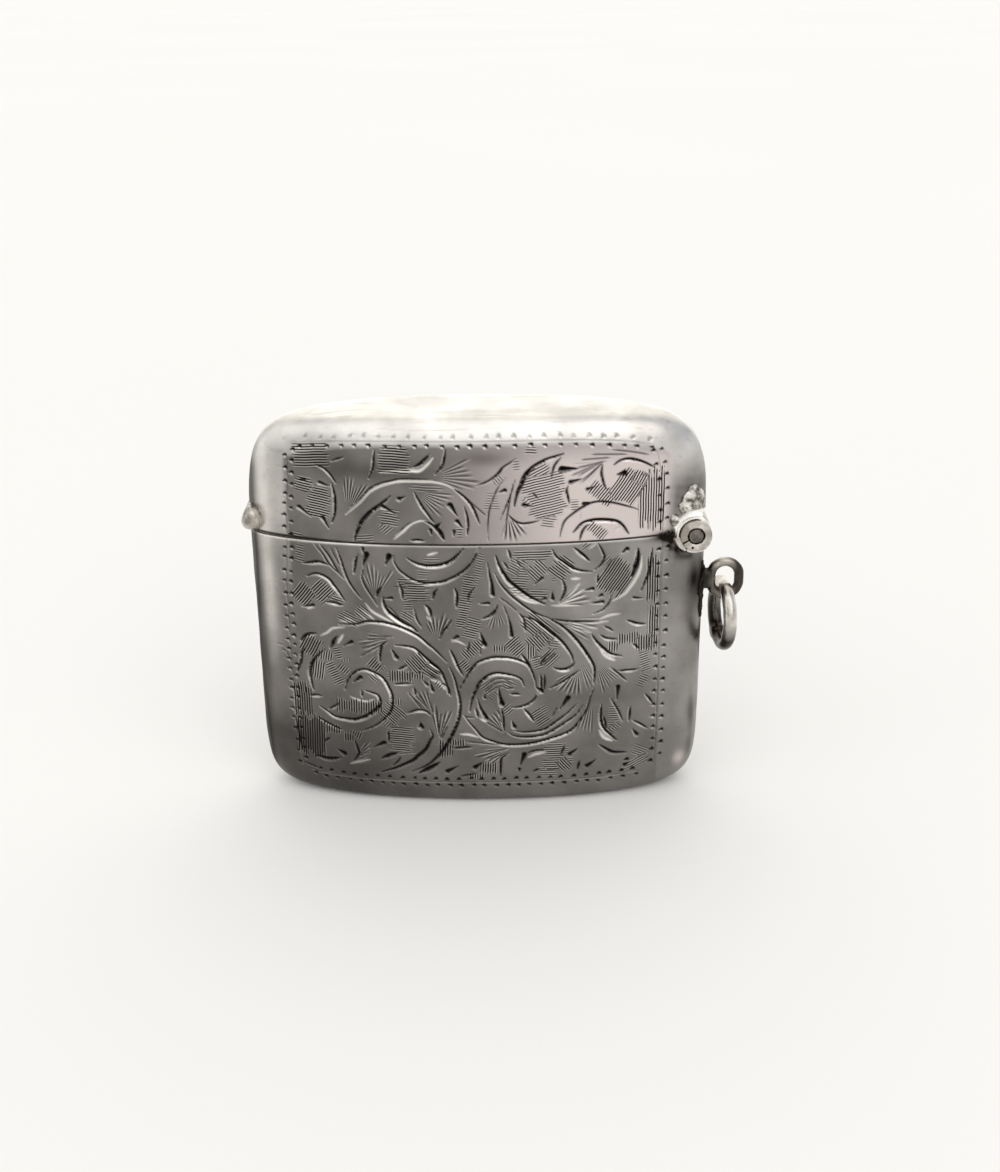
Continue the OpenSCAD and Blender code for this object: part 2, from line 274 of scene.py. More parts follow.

# The engraving of one face, seen from in front, in millimetres from the middle of the base. Each stroke is
# its width and then its points, x and height by turns. Swell strokes taper at both ends, wedges end blunt,
# glints are cuts painted with a bright highlight along them, and fine strokes are single hairlines
engraving = {
    "swell": [
        # lid, left scroll
        (.22, -13.6, 36.5, -12.3, 36.95), (.3, -9.4, 37.7, -9.5, 36.8, -9.6, 36, -10, 35),
        (.3, -15.2, 36.1, -14.3, 35.7, -13.6, 35, -13.2, 34.4),
        (.35, -13.6, 34.3, -13.45, 33.5, -13.4, 32.5, -13.5, 31.3, -13.8, 30.4),
        (.2, -11.9, 32.1, -10.9, 33, -10, 33.95, -9, 34.5, -7.9, 34.8, -6.9, 35, -5, 35, -3.6, 34.9),
        (.36, -1.9, 34, -1.3, 33.5, -.5, 32.6, 0, 31.6, .4, 30.6),
        (.48, -11.7, 28.6, -11.4, 29.6, -10.9, 30.6, -10, 31.6, -9, 32.4, -8, 33.3),
        (.3, -4.8, 30.85, -4.2, 30.5, -3.6, 29.8, -3.05, 29),
        (.15, -7.6, 29.4, -6.8, 30.2, -6.2, 30.65, -5.4, 31), (.42, -5.7, 36.15, -5, 36.5, -4.2, 37.35),
        (.3, -2.7, 37.8, -2.85, 36.9, -3.1, 36.2, -3.7, 35.5),
        (.32, -5.7, 33.7, -5.4, 33, -5, 32.2, -4.3, 31.2, -3.9, 30.7), (.4, -3.9, 30.4, -3.4, 29.8, -3, 29),
        (.28, -1, 32.3, -.8, 31.4, -.7, 30.4, -.8, 29.5), (.32, -6.2, 28.9, -4.9, 28.9),
        # lid, right scroll
        (.3, .2, 34.4, 1.3, 34.8, 2.1, 35.4, 2.6, 36, 3.3, 36.5, 3.9, 36.9),
        (.18, 2.9, 35.1, 2.2, 34.2, 1.7, 33.1, 1.3, 31.8, 1.15, 30.2, 1.2, 28.9),
        (.18, 3.8, 34.9, 3.4, 33.6, 2.9, 32.3, 2.35, 31), (.18, 3.6, 34.6, 3.2, 32.6, 2.95, 31, 2.75, 29.6),
        (.5, 8.3, 37.2, 6.8, 36.7, 6, 36.3, 5.4, 35.9, 4.7, 35.2, 4.3, 34.3, 3.9, 33.4, 3.7, 32.3),
        (.3, 3.1, 31.5, 3.7, 30.8, 4.4, 30.5, 5.3, 30.6, 6, 30.8), (.2, 5.4, 33.6, 5.9, 33),
        (.26, 7.2, 35, 7.35, 35.8, 7.6, 36.3, 8.1, 36.9), (.32, 12, 36, 11.9, 35.1, 12.1, 34.2, 12.4, 33.6),
        (.4, 13.1, 35.9, 13.6, 36.2, 14.4, 36.3, 15.3, 36.1, 16.3, 35.7, 16.9, 35.4),
        (.35, 8.75, 34.1, 8.6, 33.5, 8.9, 32.4),
        (.3, 8, 29.1, 8.2, 30, 8.5, 30.7, 9.2, 31.3, 10.1, 31.9, 11.1, 32.3, 12, 32.35, 12.9, 32.2, 14,
         31.9, 15.1, 31.5, 15.5, 31.3),
        (.5, 9.3, 29.5, 10, 30.2, 10.7, 30.45, 11.6, 30.5, 12.7, 30.4, 13.5, 30.2, 14.1, 29.7, 14.6, 29),
        (.28, 9.9, 28.6, 10.1, 29.4, 10.5, 30, 10.9, 30.2), (.2, 10.1, 34.4, 11.6, 35.8, 12, 36.2),
        # body, upper left
        (.4, -16.9, 26, -16.1, 26.08, -15.5, 26.2, -14.9, 26.15, -14.4, 26.05),
        (.4, -16.6, 24.7, -15.9, 24.95, -15.3, 24.9, -14.5, 24.5, -14, 23.85, -13.5, 23.2, -12.95, 22.4),
        (.2, -15.7, 28.1, -14.9, 27.1, -14.3, 26.1, -12.9, 24.7),
        (.25, -15.1, 28.1, -14.4, 27.1, -13.7, 25.8, -13.2, 25),
        (.28, -13.5, 27.8, -13.1, 26.6, -12.9, 25.7, -12.5, 24.5, -11.9, 23.5, -11.3, 22.7),
        (.35, -11.4, 27.3, -11.7, 26.5, -11.9, 25.3),
        (.36, -7.9, 27.3, -7.9, 26.7, -7.5, 25.9, -7, 25.4, -6.2, 24.85, -5.1, 24.5, -4.3, 24.5, -3.1,
         24.7, -1.9, 25.3, -1, 26, -.3, 26.9, .4, 28.3),
        (.22, -10.9, 26, -11.1, 24.9, -10.8, 23.9, -10.1, 22.7, -9.7, 22),
        (.35, -9.1, 24.1, -9.6, 23.5, -9.75, 23), (.32, -7.5, 24.5, -7.3, 23.7, -7.2, 22.8),
        (.55, -9.1, 22.9, -9.1, 22.2, -8.75, 21.4, -8, 20.7, -7.2, 20.15, -6.5, 19.85, -5.9, 19.4),
        (.16, -9.1, 22.3, -8.4, 21.7, -7.5, 20.7), (.35, -14.9, 22.1, -14.1, 22, -13.2, 21.85),
        (.46, -6.6, 27.05, -6.1, 26.7, -5.5, 26.4, -4.6, 26.25, -3.5, 26.35, -2.6, 26.7, -1.9, 27.3, -1.2,
         28.1), (.3, -4.3, 22.9, -4.1, 23.5, -3.8, 23.95), (.36, -2.1, 24, -1.95, 23.3, -2, 22),
        (.25, -.9, 22.6, -.7, 23.4, -.1, 24.2), (.45, -5, 22.2, -4.7, 21.7, -4.5, 21),
        (.22, -6.1, 21.8, -5.9, 20.7, -5.4, 19.8), (.3, -3.7, 18.7, -3.4, 19.4, -3, 19.9, -2.5, 20.7),
        # body, main stems
        (.4, -13.6, 19.8, -12, 19.9, -11.3, 20.1, -10.7, 20.25, -9.3, 20.2, -8, 19.9, -7, 19.5, -5.9,
         18.9, -5, 18.1, -4.1, 17.3, -3.1, 16.2),
        (.42, -8.1, 17.85, -7.3, 17.8, -6.3, 17.55, -5.7, 17, -4.9, 16.2, -4.1, 15.5, -3.7, 15, -3.4,
         14.3, -3.1, 13.4, -3, 12.7),
        (.4, -2.8, 15.5, -2.4, 14.5, -2.1, 13.1, -1.9, 11.9, -1.9, 10.9, -2.1, 9.7, -2.5, 8.6, -3, 7.5,
         -3.7, 6.3, -4.5, 5.3, -5.4, 4.5, -7, 3.7),
        (.52, 1.9, 27.3, 2.2, 26.2, 2.6, 25.4, 3.1, 24.6, 4.1, 23.7, 5, 23, 5.9, 22.5, 6.6, 22.2),
        (.28, 1.8, 25.5, 2.2, 24.6, 3, 23.5, 3.9, 22.6, 5, 21.7, 6, 21.1, 7.2, 20.6),
        (.3, 4.1, 21.3, 4.5, 20.6, 4.7, 19.4),
        (.42, 4.5, 20.95, 5.4, 20.6, 6.1, 20.1, 6.8, 19.4, 7.7, 18.6, 8.5, 17.7, 9.2, 16.6, 9.4, 15.9),
        (.42, 6.8, 20.8, 7.3, 20.45, 8.4, 19.6, 9.4, 18.5, 10.2, 17.4, 11.1, 15.9, 11.5, 14.9, 11.5, 13.3),
        (.3, 7.3, 20.6, 8.7, 20.25, 10, 20.1, 11.9, 20.05), (.35, 2, 22.2, 1.8, 21.7, 1.3, 21.1, .5, 20.8),
        (.25, -.8, 18.3, -1, 17.3), (.36, -2.7, 17.5, -2.4, 16.7, -2, 15.6, -1.5, 14.7),
        # body, upper right
        (.38, 7.3, 27.8, 7.7, 27, 8.4, 26.4, 9.1, 25.85, 9.9, 25.5, 11.1, 25.35),
        (.28, 11.4, 25.5, 12, 26, 12.3, 26.7, 12.1, 27.4, 11.7, 28.2),
        (.4, 9.4, 27.9, 10, 27.25, 10.9, 26.45), (.6, 15.6, 27.3, 15.55, 26.2, 15.35, 25.4, 15.05, 24.5),
        (.36, 17, 27.2, 16.9, 26.2, 16.7, 24.7, 16.4, 23.9, 16, 22.9),
        (.35, 8.3, 24.7, 8.5, 23.7, 8.3, 22.9, 8, 22.4), (.28, 11.7, 25, 11.7, 24.1),
        (.22, 13.1, 23, 12.9, 22.1, 12.3, 21.3, 11.3, 20.9), (.3, 3.1, 27.9, 3.3, 27),
        (.22, 2.6, 26.7, 3.1, 25.9), (.22, 3.9, 26.7, 4.3, 26.1), (.28, 12.4, 19.5, 13.3, 18.9),
        (.32, 12, 18.6, 12.7, 18.1, 13.7, 18),
        (.42, 11.2, 18.7, 11.7, 17.8, 12.4, 17, 13.1, 16.4, 14.2, 16.1),
        (.4, 14.7, 19.9, 15.6, 19.4, 16.5, 19.3), (.3, 15.3, 17.3, 15.9, 16.7),
        (.3, 7.3, 17.1, 6.5, 16.3, 6.1, 15.6),
        # body, lower left spiral and its leaves
        (.35, -8.9, 18.3, -9.5, 17.7, -9.7, 16.9, -9.7, 16), (.45, -17.7, 17.6, -17.1, 18.2, -16.1, 18.6),
        (.36, -17.3, 16.9, -17.7, 16.2, -17.9, 15.2, -18.3, 14.1),
        (.42, -15.3, 16.9, -16, 16.2, -16.6, 15.4, -16.9, 14.7, -17, 14, -16.9, 13.2, -16.7, 12.3),
        (.4, -13.9, 18.5, -14.3, 17.9, -14.7, 17.1), (.36, -17.1, 11.6, -15.9, 11.7),
        (.38, -13.4, 12.7, -13.1, 13.7, -12.5, 14.5, -11.9, 14.9, -11.2, 15, -10.4, 14.7, -9.6, 14.2,
         -9.1, 13.4, -8.7, 12.3, -8.7, 11.3, -8.9, 10.5, -9.3, 9.9, -10.1, 9.1, -10.9, 8.6, -12, 8.1),
        (.48, -11.3, 12.7, -10.7, 12.5, -10.1, 12.2, -9.9, 11.5, -10.1, 10.9, -10.7, 10.3, -11.5, 9.7,
         -12.5, 9.3, -13.6, 9.3, -14.7, 9.5, -15.5, 10.1, -16.1, 10.5), (.22, -11.7, 12.7, -11.7, 12),
        (.3, -15.2, 10.3, -14.5, 10.7, -14.1, 11.1), (.36, -16.5, 9.3, -15.6, 8.7, -14.7, 8.3, -13.9, 8.1),
        (.3, -18.9, 9.1, -18.7, 7.5, -18.3, 4.8), (.52, -16.9, 4.7, -15.6, 4.45, -14.3, 4.8),
        (.35, -15.9, 6.5, -15.3, 7), (.36, -12.7, 7, -12.5, 6.2, -12.4, 5.4, -12.9, 4.6),
        (.5, -10, 5.1, -9.1, 5.5, -8.3, 5.85), (.25, -8, 5.5, -8.3, 4.9, -8.9, 4.3),
        (.44, -10.1, 3.5, -8.7, 4, -7.5, 4.6, -6.8, 5, -6.3, 5.5, -5.5, 6.3, -5, 7.3, -4.7, 7.9, -4.9, 8.6),
        (.3, -9.2, 8.3, -9.2, 7.1), (.3, -8.3, 13.6, -6.7, 13.7), (.3, -7.9, 15.2, -7, 15.7),
        (.25, -18.3, 3.7, -17.3, 3.4, -16.7, 3.2), (.3, -3.7, 13.9, -3.1, 13.4, -2.8, 12.5),
        (.24, -4.3, 11.5, -4.2, 9.8, -4, 7.8), (.36, -7.2, 10.4, -6.2, 10.7, -5.3, 10.65, -4.9, 10.3),
        (.28, -6.4, 13.3, -6.3, 12.5), (.55, -6.2, 3.55, -5, 4.2, -4.1, 4.85),
        (.3, -2.7, 6.55, -1.7, 6.6, -.7, 6.7),
        # body, lower right spiral and its leaves
        (.36, -1.9, 13.2, -1.4, 14.1, -.9, 15, -.4, 15.7, .2, 16.2, 1.3, 16.55, 1.9, 16.6, 3.1, 16.5, 4.2,
         16.15, 4.9, 15.7, 5.3, 15, 5.6, 14.1, 5.75, 13.3),
        (.3, 5.9, 12.6, 5.4, 11.8, 4.7, 11.3, 3.9, 11.1, 3.3, 11.1), (.36, 4.3, 16.9, 4.7, 16.2, 5.2, 15.5),
        (.4, -.9, 10.7, -.7, 11.9, -.3, 13, .2, 13.9, 1, 14.6, 1.8, 14.85, 2.7, 14.75, 3.7, 14.5, 4.3,
         14.1, 4.5, 13.5), (.3, 3.2, 12.6, 4.1, 12.55), (.22, 2.9, 13.2, 3.5, 13.25),
        (.3, -.3, 11, -.1, 10.1), (.32, 2.3, 11, 2.4, 9.8, 2.5, 8.5),
        (.38, -1.5, 10.3, -1, 9.5, -.3, 8.6, .3, 7.8, 1.3, 7.3, 2.6, 6.9, 4.3, 6.85, 6, 7.1, 8.1, 7.7,
         9.3, 8.3, 10.1, 9.3, 10.8, 10.5, 11.1, 11.7, 11.5, 12.8),
        (.3, 3.5, 8.5, 4.3, 8.3, 5.4, 8.3, 6.5, 8.5, 7.3, 9, 8.7, 10.1, 9.8, 11.2),
        (.32, 2.9, 8.3, 3.5, 7.9, 4.7, 7.7, 6.2, 7.8, 7.2, 8.2, 8.4, 9, 9.6, 9.9, 10.4, 11),
        (.36, 4.5, 10.9, 5, 10.2, 5.5, 9.5), (.3, 2.9, 5.9, 2.2, 5.3, 2.1, 4.3, 2.1, 3.3),
        (.25, -1.9, 3.3, -.3, 3.6), (.25, 4.7, 5.8, 5.5, 6.1, 6.9, 6.2), (.3, 5.4, 3.7, 6, 4),
        (.42, 7.5, 15.3, 8.1, 15.05, 8.7, 15.05, 9.2, 15.35, 9.5, 15.8), (.3, 6.2, 14.6, 6.25, 12.7),
        (.3, 6.55, 14.6, 6.5, 13), (.32, 10, 14.9, 8.5, 13.8, 7.1, 13.1), (.25, 13.1, 15, 14.8, 13.3),
        (.32, 13.9, 14.5, 15.1, 14.4, 15.9, 14.5),
        (.4, 12.3, 10.9, 12.2, 9.8, 12.3, 8.7, 12.7, 7.9, 13.3, 7.3, 13.9, 6.7), (.3, 12.5, 9.6, 12.8, 8.1),
        (.25, 13.2, 11.5, 13.9, 10.2, 14.5, 8.8), (.32, 15.2, 10.4, 15.1, 8.8),
        (.3, 15.5, 8.8, 16.3, 8.2, 17, 7.7), (.3, 16.7, 11.6, 17.5, 10.4),
        (.42, 12.1, 6.4, 12.9, 5.7, 13.6, 5.3, 14.9, 5.2), (.28, 8.6, 6.6, 8.2, 5.5),
        (.3, 10.1, 4.7, 9.9, 3.7),
    ],
    "wedge": [
        (.35, -13.8, 34.05, -14.8, 34.3), (.4, -15.8, 30.9, -17, 31.7), (.4, -14.1, 29.8, -14.7, 30.8),
        (.4, -7.5, 31.5, -8.8, 32.2), (.4, -6.6, 33.3, -7.2, 33), (.3, -16.9, 34.5, -16.3, 34.5),
        (.5, -1.7, 31.4, -2.4, 32.4), (.4, -1.2, 30.2, -1.75, 30.8), (.3, -4.2, 29.5, -4.3, 29.95),
        (.3, -2.1, 29.4, -2.05, 29.85), (.45, -3.3, 30.7, -3.7, 30.3), (.35, 2.2, 33.7, 2.8, 33.85),
        (.45, 5.3, 32.3, 4.6, 32.3), (.7, 9.7, 35.75, 8.2, 35.6), (.45, 10.05, 34.75, 9, 34.4),
        (.35, 11.4, 33.95, 10.6, 33.65), (.55, 13.4, 34.95, 14.05, 34.95), (.45, 10.9, 32.4, 10.3, 32.2),
        (.35, -17.3, 21.35, -16.2, 21.55), (.45, -8.5, 17.4, -8.1, 16.5), (.35, -13.3, 17.5, -12.5, 17.95),
        (.5, -10.95, 26.2, -10.6, 27.3), (.28, -10.9, 27.5, -10.9, 27.9), (.5, -8.75, 26.4, -8.4, 27.2),
        (.3, -9.1, 22.8, -8.3, 22.85), (.42, 1.1, 26.6, 1.25, 25.5, 1.45, 24.3, 1.5, 23.3),
        (.4, 2.9, 21.3, 3.2, 20.1, 3.3, 18.9), (.3, .2, 22.4, 1.1, 22.4), (.55, .3, 19.3, .6, 18),
        (.35, -2.5, 18.6, -2, 18.85), (.3, 5.6, 24.3, 6.3, 24.9), (.4, 14, 27.05, 14.5, 27.35),
        (.4, 7.3, 23.5, 7.3, 22.7), (.3, 6.1, 22.6, 6.6, 22.75), (.35, 10.4, 23.45, 11.2, 23.5),
        (.3, 11.7, 22.6, 12.1, 22.8), (.35, 11, 22.05, 12.2, 22.05), (.3, 16.2, 22.1, 15.3, 22.2),
        (.4, -12.5, 13.6, -11.8, 14.1), (.5, -14.6, 5.8, -13.9, 5.3), (.42, -10.8, 6.35, -9.7, 6.9),
        (.3, -5.5, 14.1, -5.1, 13.6), (.35, -4.8, 14.1, -4.6, 13), (.5, 5.7, 13.3, 6.2, 12.8),
        (.25, .55, 12.8, .6, 12.2), (.5, 2, 13.4, 2.1, 12.3, 2.3, 11.4), (.45, -.1, 12.1, .2, 11, .7, 9.9),
        (.42, 3.3, 9.6, 3.5, 8.9), (.6, -5.9, 9.4, -5.9, 8.9), (.45, -2.2, 4.5, -3.3, 3.8),
        (.45, .4, 5, -.5, 4.3), (.45, 4.1, 4.5, 4.5, 5.7), (.3, 4, 3.75, 4, 4.05),
        (.45, 8.1, 10.7, 8.9, 11.9), (.4, 13.8, 11.3, 13.9, 12.7), (.4, 15.5, 7.8, 15.9, 7.1),
        (.42, 10, 6.2, 9.1, 5.5), (.45, 11.8, 4.7, 10.9, 4), (.35, 14.6, 4.3, 15, 4.35),
        (.45, 15.3, 4, 14.8, 3.7),
    ],
    "glint": [
        (.3, -7.8, 29, -7, 29.7, -6.2, 30.5, -5.4, 30.85, -4.6, 30.85),
        (.45, 3.3, 23.8, 4.2, 23, 5.2, 22.5, 6.1, 22.3),
        (.28, -12.4, 31.3, -11, 32.5, -10, 33.6, -9, 34.2, -8, 34.55, -7, 34.75, -5, 34.75, -3.7, 34.7,
         -2.6, 34.4, -1.6, 33.8), (.42, -8.9, 35.6, -7.4, 35.7, -6, 35.8, -5.2, 35.8, -4.5, 36.3, -3.9, 37),
        (.3, 13.1, 29.1, 13.3, 29.5, 13.8, 29.6, 14.1, 29.3),
        (.25, -15.6, 18.4, -14.9, 18.8, -14.3, 19.3, -13.1, 19.5), (.2, -13.6, 20.2, -12.5, 20.1),
        (.2, -13, 20.6, -12, 20.15), (.2, -11.8, 21.3, -10.8, 20.3),
        (.25, -11.5, 21.7, -10.7, 21, -10.1, 20.5), (.3, -10.9, 22.2, -10.3, 21.4, -9.3, 20.8, -8.3, 20.3),
        (.3, -16.8, 21.2, -16, 21.5), (.3, -13.3, 18.7, -13.9, 17.7), (.25, -4.7, 27.4, -3.7, 27.7),
        (.2, -2.6, 18.4, -2, 18.4, -1.2, 18), (.3, -4.9, 21, -4.5, 20.5), (.2, 10.8, 27.7, 11.6, 28.2),
        (.36, 15.9, 26.5, 15.9, 25.4, 15.5, 24.3, 14.9, 23.4, 14.3, 22.7, 13.2, 22.1),
        (.2, 8.9, 23.1, 10, 24.2), (.2, 8.9, 22.8, 10.4, 23.5), (.2, 8, 22.1, 9.2, 22.5, 10.5, 22.9),
        (.22, 7.2, 22, 9.9, 21.9), (.28, 12, 20.3, 12.9, 20.6, 14, 20.7),
        (.25, 8.9, 20, 10.8, 19.9, 12.8, 20), (.2, 8.5, 19.8, 11.7, 19.3), (.2, 8.7, 19.6, 11.1, 18.9),
        (.5, 12, 17.1, 12.7, 16.2, 13.5, 15.7), (.3, 9.1, 24.7, 10, 24.7),
        (.25, -12.9, 11.9, -12.1, 11.6, -11.2, 11.5, -10.5, 11.8), (.3, -13.3, 4.2, -12.5, 4.5, -11.2, 4.9),
        (.35, -4.7, 14.2, -3.9, 13.9, -3.3, 13.1), (.3, .1, 9.9, .8, 9.5),
        (.3, -1.9, 8.15, -1, 8.1, -.1, 7.8), (.3, 4.9, 5.4, 5.7, 5.75, 6.7, 5.9),
        (.5, 12.1, 8, 12.6, 7.2, 13.4, 6.7),
    ],
    "fine": [
        (.15, -.8, 33.1, 1, 31.4), (.15, 10, 36.55, 12.7, 36.6), (.15, 9.6, 35.8, 12.3, 36.3),
        (.15, 9.1, 35.1, 11.9, 36.2), (.15, 11, 37, 14.3, 36.8), (.15, 13, 37.3, 14.7, 37, 16.4, 36.6),
        (.15, -14.1, 27.8, -13.3, 26.1), (.15, -14.8, 22.7, -13.6, 22.2), (.15, -10.7, 18.7, -8.3, 18.75),
        (.15, -11.5, 17.3, -10, 17.8), (.15, -11.6, 16.5, -10.1, 17.5), (.15, -10.9, 18.3, -8.8, 18.5),
        (.15, 2.2, 23, 3.1, 22.3, 3.9, 21.5), (.15, 2.6, 22.1, 3.1, 20.7), (.15, .25, 17.9, .25, 17),
        (.15, 7.7, 17, 6.8, 16.1, 6.4, 15.5), (.15, -12.4, 5.3, -11.2, 6.4), (.15, -12.3, 5.2, -11.2, 5.8),
        (.15, -5.9, 15.5, -4, 14.3), (.15, -5.7, 15, -4.3, 14.3), (.15, -5.3, 15.7, -3.7, 14.7),
        (.15, .5, 13.3, 1.4, 14.1, 2.3, 14.3, 3.4, 14.1), (.15, .7, 13, 1.6, 13.7, 2.4, 13.9, 3.3, 13.7),
        (.15, 1, 12.8, 1.7, 13.3, 2.6, 13.5), (.15, .7, 9.5, 2.5, 8.3), (.15, 1.4, 10.5, 2.4, 9.3),
        (.15, 1.8, 10.8, 2.4, 9.9), (.15, -1.4, 10.1, -.5, 10), (.15, -7, 12.7, -5.7, 10.9),
        (.15, -6, 12.5, -5.1, 10.9), (.15, -5.1, 12.5, -4.6, 10.5), (.15, -3.8, 10.6, -4, 8.6),
        (.15, -3.4, 9.6, -3.9, 7.7), (.15, -3.1, 9.3, -3.8, 7.6), (.15, -1.4, 7.3, 2.3, 6.9),
        (.15, .9, 5.9, 2.9, 6.5), (.15, 1, 5.3, 3, 6), (.15, 7.8, 10.9, 7.3, 9.9),
        (.1, -20, 16.9, -19, 15.5),
    ],
    # fans of fine lines: root, first and last bearing in degrees, start and end of the rays, count, strength
    "fan": [
        (-12.2, 31.5, 96, 52, 1, 3.6, 8, .6), (-4, 35.2, 28, -22, 1, 4.3, 7, .5),
        (-5.6, 33.8, -4, -52, .8, 3.4, 7, .55), (12.2, 36.3, 186, 226, .8, 3.2, 4, .5),
        (3.1, 31.6, 258, 314, .6, 3, 6, .7), (-9.9, 22.8, 114, 56, 1, 3.5, 8, .45),
        (-4, 18.4, 118, 56, .7, 2.9, 7, .6), (-8.2, 18.7, 172, 216, 1, 3.5, 6, .45),
        (7.9, 22.1, 46, -3, .9, 3, 5, .5), (1.95, 22, 244, 292, .8, 2.4, 6, .55),
        (7.4, 20.6, -4, -36, 1, 4.6, 6, .5), (9.9, 15.1, 206, 276, .8, 3, 8, .6),
        (9.8, 16.6, 284, 301, 1.2, 3.8, 4, .5), (11.6, 15.8, 282, 323, .9, 3.7, 8, .6),
        (-12.6, 5.2, 22, 58, .6, 2.2, 4, .7), (-13.3, 4.2, 12, 32, .8, 2.4, 3, .5),
        (-4.1, 7.4, 68, 100, .7, 3.8, 5, .6), (-4.7, 10.4, 99, 136, .7, 3, 5, .6),
        (3.2, 6.6, 184, 226, .9, 3.6, 6, .6), (11.4, 12.4, 249, 269, 1.6, 5.2, 5, .5),
        (2.5, 8.4, 100, 146, .7, 2.6, 5, .6),
    ],
    # patches of shading lines: middle, length of the lines, width across them, slant in degrees, strength
    "hatch": [
        # lid
        (-15.6, 36.9, 3.6, 2.2, 5, .55), (-7.6, 36.8, 3.2, 2.6, -3, .55), (-16.4, 34.1, 1.9, 1.4, -10, .6),
        (-15, 32.4, 2.3, 3, -10, .65), (-8.2, 31.2, 2, 1.6, -8, .45), (-8.6, 30.2, 1.4, 1.2, 40, .35),
        (-10.7, 28.9, 2.2, .8, 5, .4), (-17.4, 28.9, 1.3, .5, -8, .5), (-1.5, 29.7, .8, .9, 0, .5),
        (-4.6, 34.1, 3, .6, -3, .3), (1.6, 32.8, 1.6, 1.6, -3, .3), (3.9, 36.3, .8, .9, 5, .4),
        (2.2, 34.9, 1, .9, -50, .35), (5.3, 37.6, 1.2, .6, -3, .5), (6.1, 35.4, 2.2, 1.4, 28, .5),
        (6.6, 33.2, 4, 4.2, 12, .5), (6.9, 30.9, 1.8, 1.6, -8, .45), (5, 32.7, 1.4, 1, 20, .45),
        (9.4, 32.2, 1, 1, 0, .45), (10, 31.4, .4, 1, 0, .3), (12, 33.2, 1.9, 2.6, 52, .65),
        (13.6, 32.9, 1, 1.6, 80, .6), (16.8, 32.2, 5.8, 2.4, 90, .9), (14.5, 33.6, 3.2, 2.6, 55, .92),
        (15.6, 34.4, 1.6, 1.4, 60, .95), (11.6, 29.5, 1.3, 1.8, 50, .6),
        # body, upper left
        (-17.2, 27, 1.2, 1.7, -10, .45), (-17.1, 22.7, 2.2, 1.9, 52, .8), (-15.2, 23.2, 2.2, 1.9, 45, .7),
        (-14, 22.4, 1.9, .9, -14, .45), (-6.1, 24.5, 3.6, 1, -2, .45), (-5.9, 23.6, 2.6, 1.9, 0, .5),
        (-4.3, 26.9, 1.6, .6, 0, .3), (-5.2, 25.6, 1.4, .5, -3, .3), (-6.7, 22.2, 1.1, 1.3, 3, .45),
        (-6.9, 20.9, 1.5, 1, -30, .45), (-1.1, 22.6, 1.3, 5.6, -10, .5), (-.6, 19.8, 1.8, 2.2, -14, .5),
        (.2, 26, 1, 3.2, -12, .35), (-12.6, 20.5, 2.2, 1.2, -25, .5), (-11.3, 21.2, 1.6, 1.2, -38, .5),
        # body, upper right
        (5.4, 27.3, 3.8, .9, 0, .5), (3.8, 26.2, 1.7, 1.8, -32, .45), (4.2, 24.6, 2, 2.8, -6, .4),
        (5.9, 25.7, 2, 1.8, -45, .5), (8.2, 25.9, 2.2, 2.2, -40, .55), (5.8, 23.2, 2, 1, -3, .5),
        (7.4, 24.8, .6, .6, 0, .4), (13.5, 24.6, 3.6, 2.8, 56, .8), (12.8, 26.3, 1.2, 1, 50, .35),
        (17.2, 24, 5.4, 1.2, 90, .8), (10.5, 28.1, 1.3, .6, 35, .4), (5.6, 20.1, 2.6, 2, -42, .55),
        (17.3, 19.5, 3.4, .9, 90, .8),
        # body, middle
        (-16.7, 17.2, 2.4, 1.7, 62, .85), (-15.3, 16.3, 1.3, 1.6, 78, .5), (-16, 14.6, 2.2, 1.2, 80, .6),
        (-13.9, 16.6, 1, 1.3, 15, .5), (-13.2, 15.9, .5, .8, 90, .5), (-14.4, 14.4, 1.3, 2.6, 28, .5),
        (-13.4, 14.9, .9, 1.2, 55, .5), (-10.2, 15.6, 1.3, 1.3, 50, .7), (-9.7, 15.3, .9, 1, -50, .5),
        (-8.7, 14.6, 1, .6, 0, .4), (-7.7, 14.5, 1.4, 2.2, 90, .8), (-6.2, 14.7, 1.2, 1.4, 90, .6),
        (-6, 15.9, 2, 1.8, -50, .6), (-4.6, 15.2, 2.2, 1.3, -38, .6), (-3.9, 13.7, .9, .8, 50, .5),
        (-10.4, 14.2, 1.1, .7, -45, .4), (-18, 12.3, 1.6, 1.2, 90, .8), (-.4, 17.6, 1.4, 2.6, -48, .6),
        (-1.2, 15.7, 1.2, 1.4, 42, .6), (2.2, 17.6, .9, 1.2, 90, .6), (3.7, 17.7, 2, 1.8, 42, .6),
        (5.3, 17.2, 1.9, 1, 90, .6), (6, 18.3, 2, 1.9, -50, .55), (7.4, 17.9, 1.6, .9, -10, .4),
        (6.8, 19, 2.2, 1.6, -42, .5), (5.9, 16, 1.2, 1.4, 20, .45), (7, 16.4, 2.2, 1.3, 45, .5),
        (.9, 13.3, 1.6, 1.2, 38, .4), (2.9, 13.7, 1.6, 1, -30, .4), (1.5, 12.5, .6, .9, -40, .5),
        (13.3, 17.2, 1.4, .9, 90, .7), (14.8, 18, 1.4, 1.9, 90, .7), (16.5, 17.3, 2, 1.7, 90, .8),
        (17.3, 17.3, 1.6, .9, 90, .8), (16.6, 15.2, 1.4, 2.2, 12, .45), (16.4, 13.2, 1.2, 1.4, -30, .4),
        # body, low
        (-12, 10.9, 1.7, 4.6, 90, .65), (-17.3, 7, 4.8, 3, 88, 1), (-17.9, 10.9, 3.4, 1.8, 90, .9),
        (-15.2, 8.1, 1.2, 2.2, 88, .8), (-13.3, 7.3, 1.3, .9, 90, .8), (-12.5, 7.7, .9, 1.1, 70, .6),
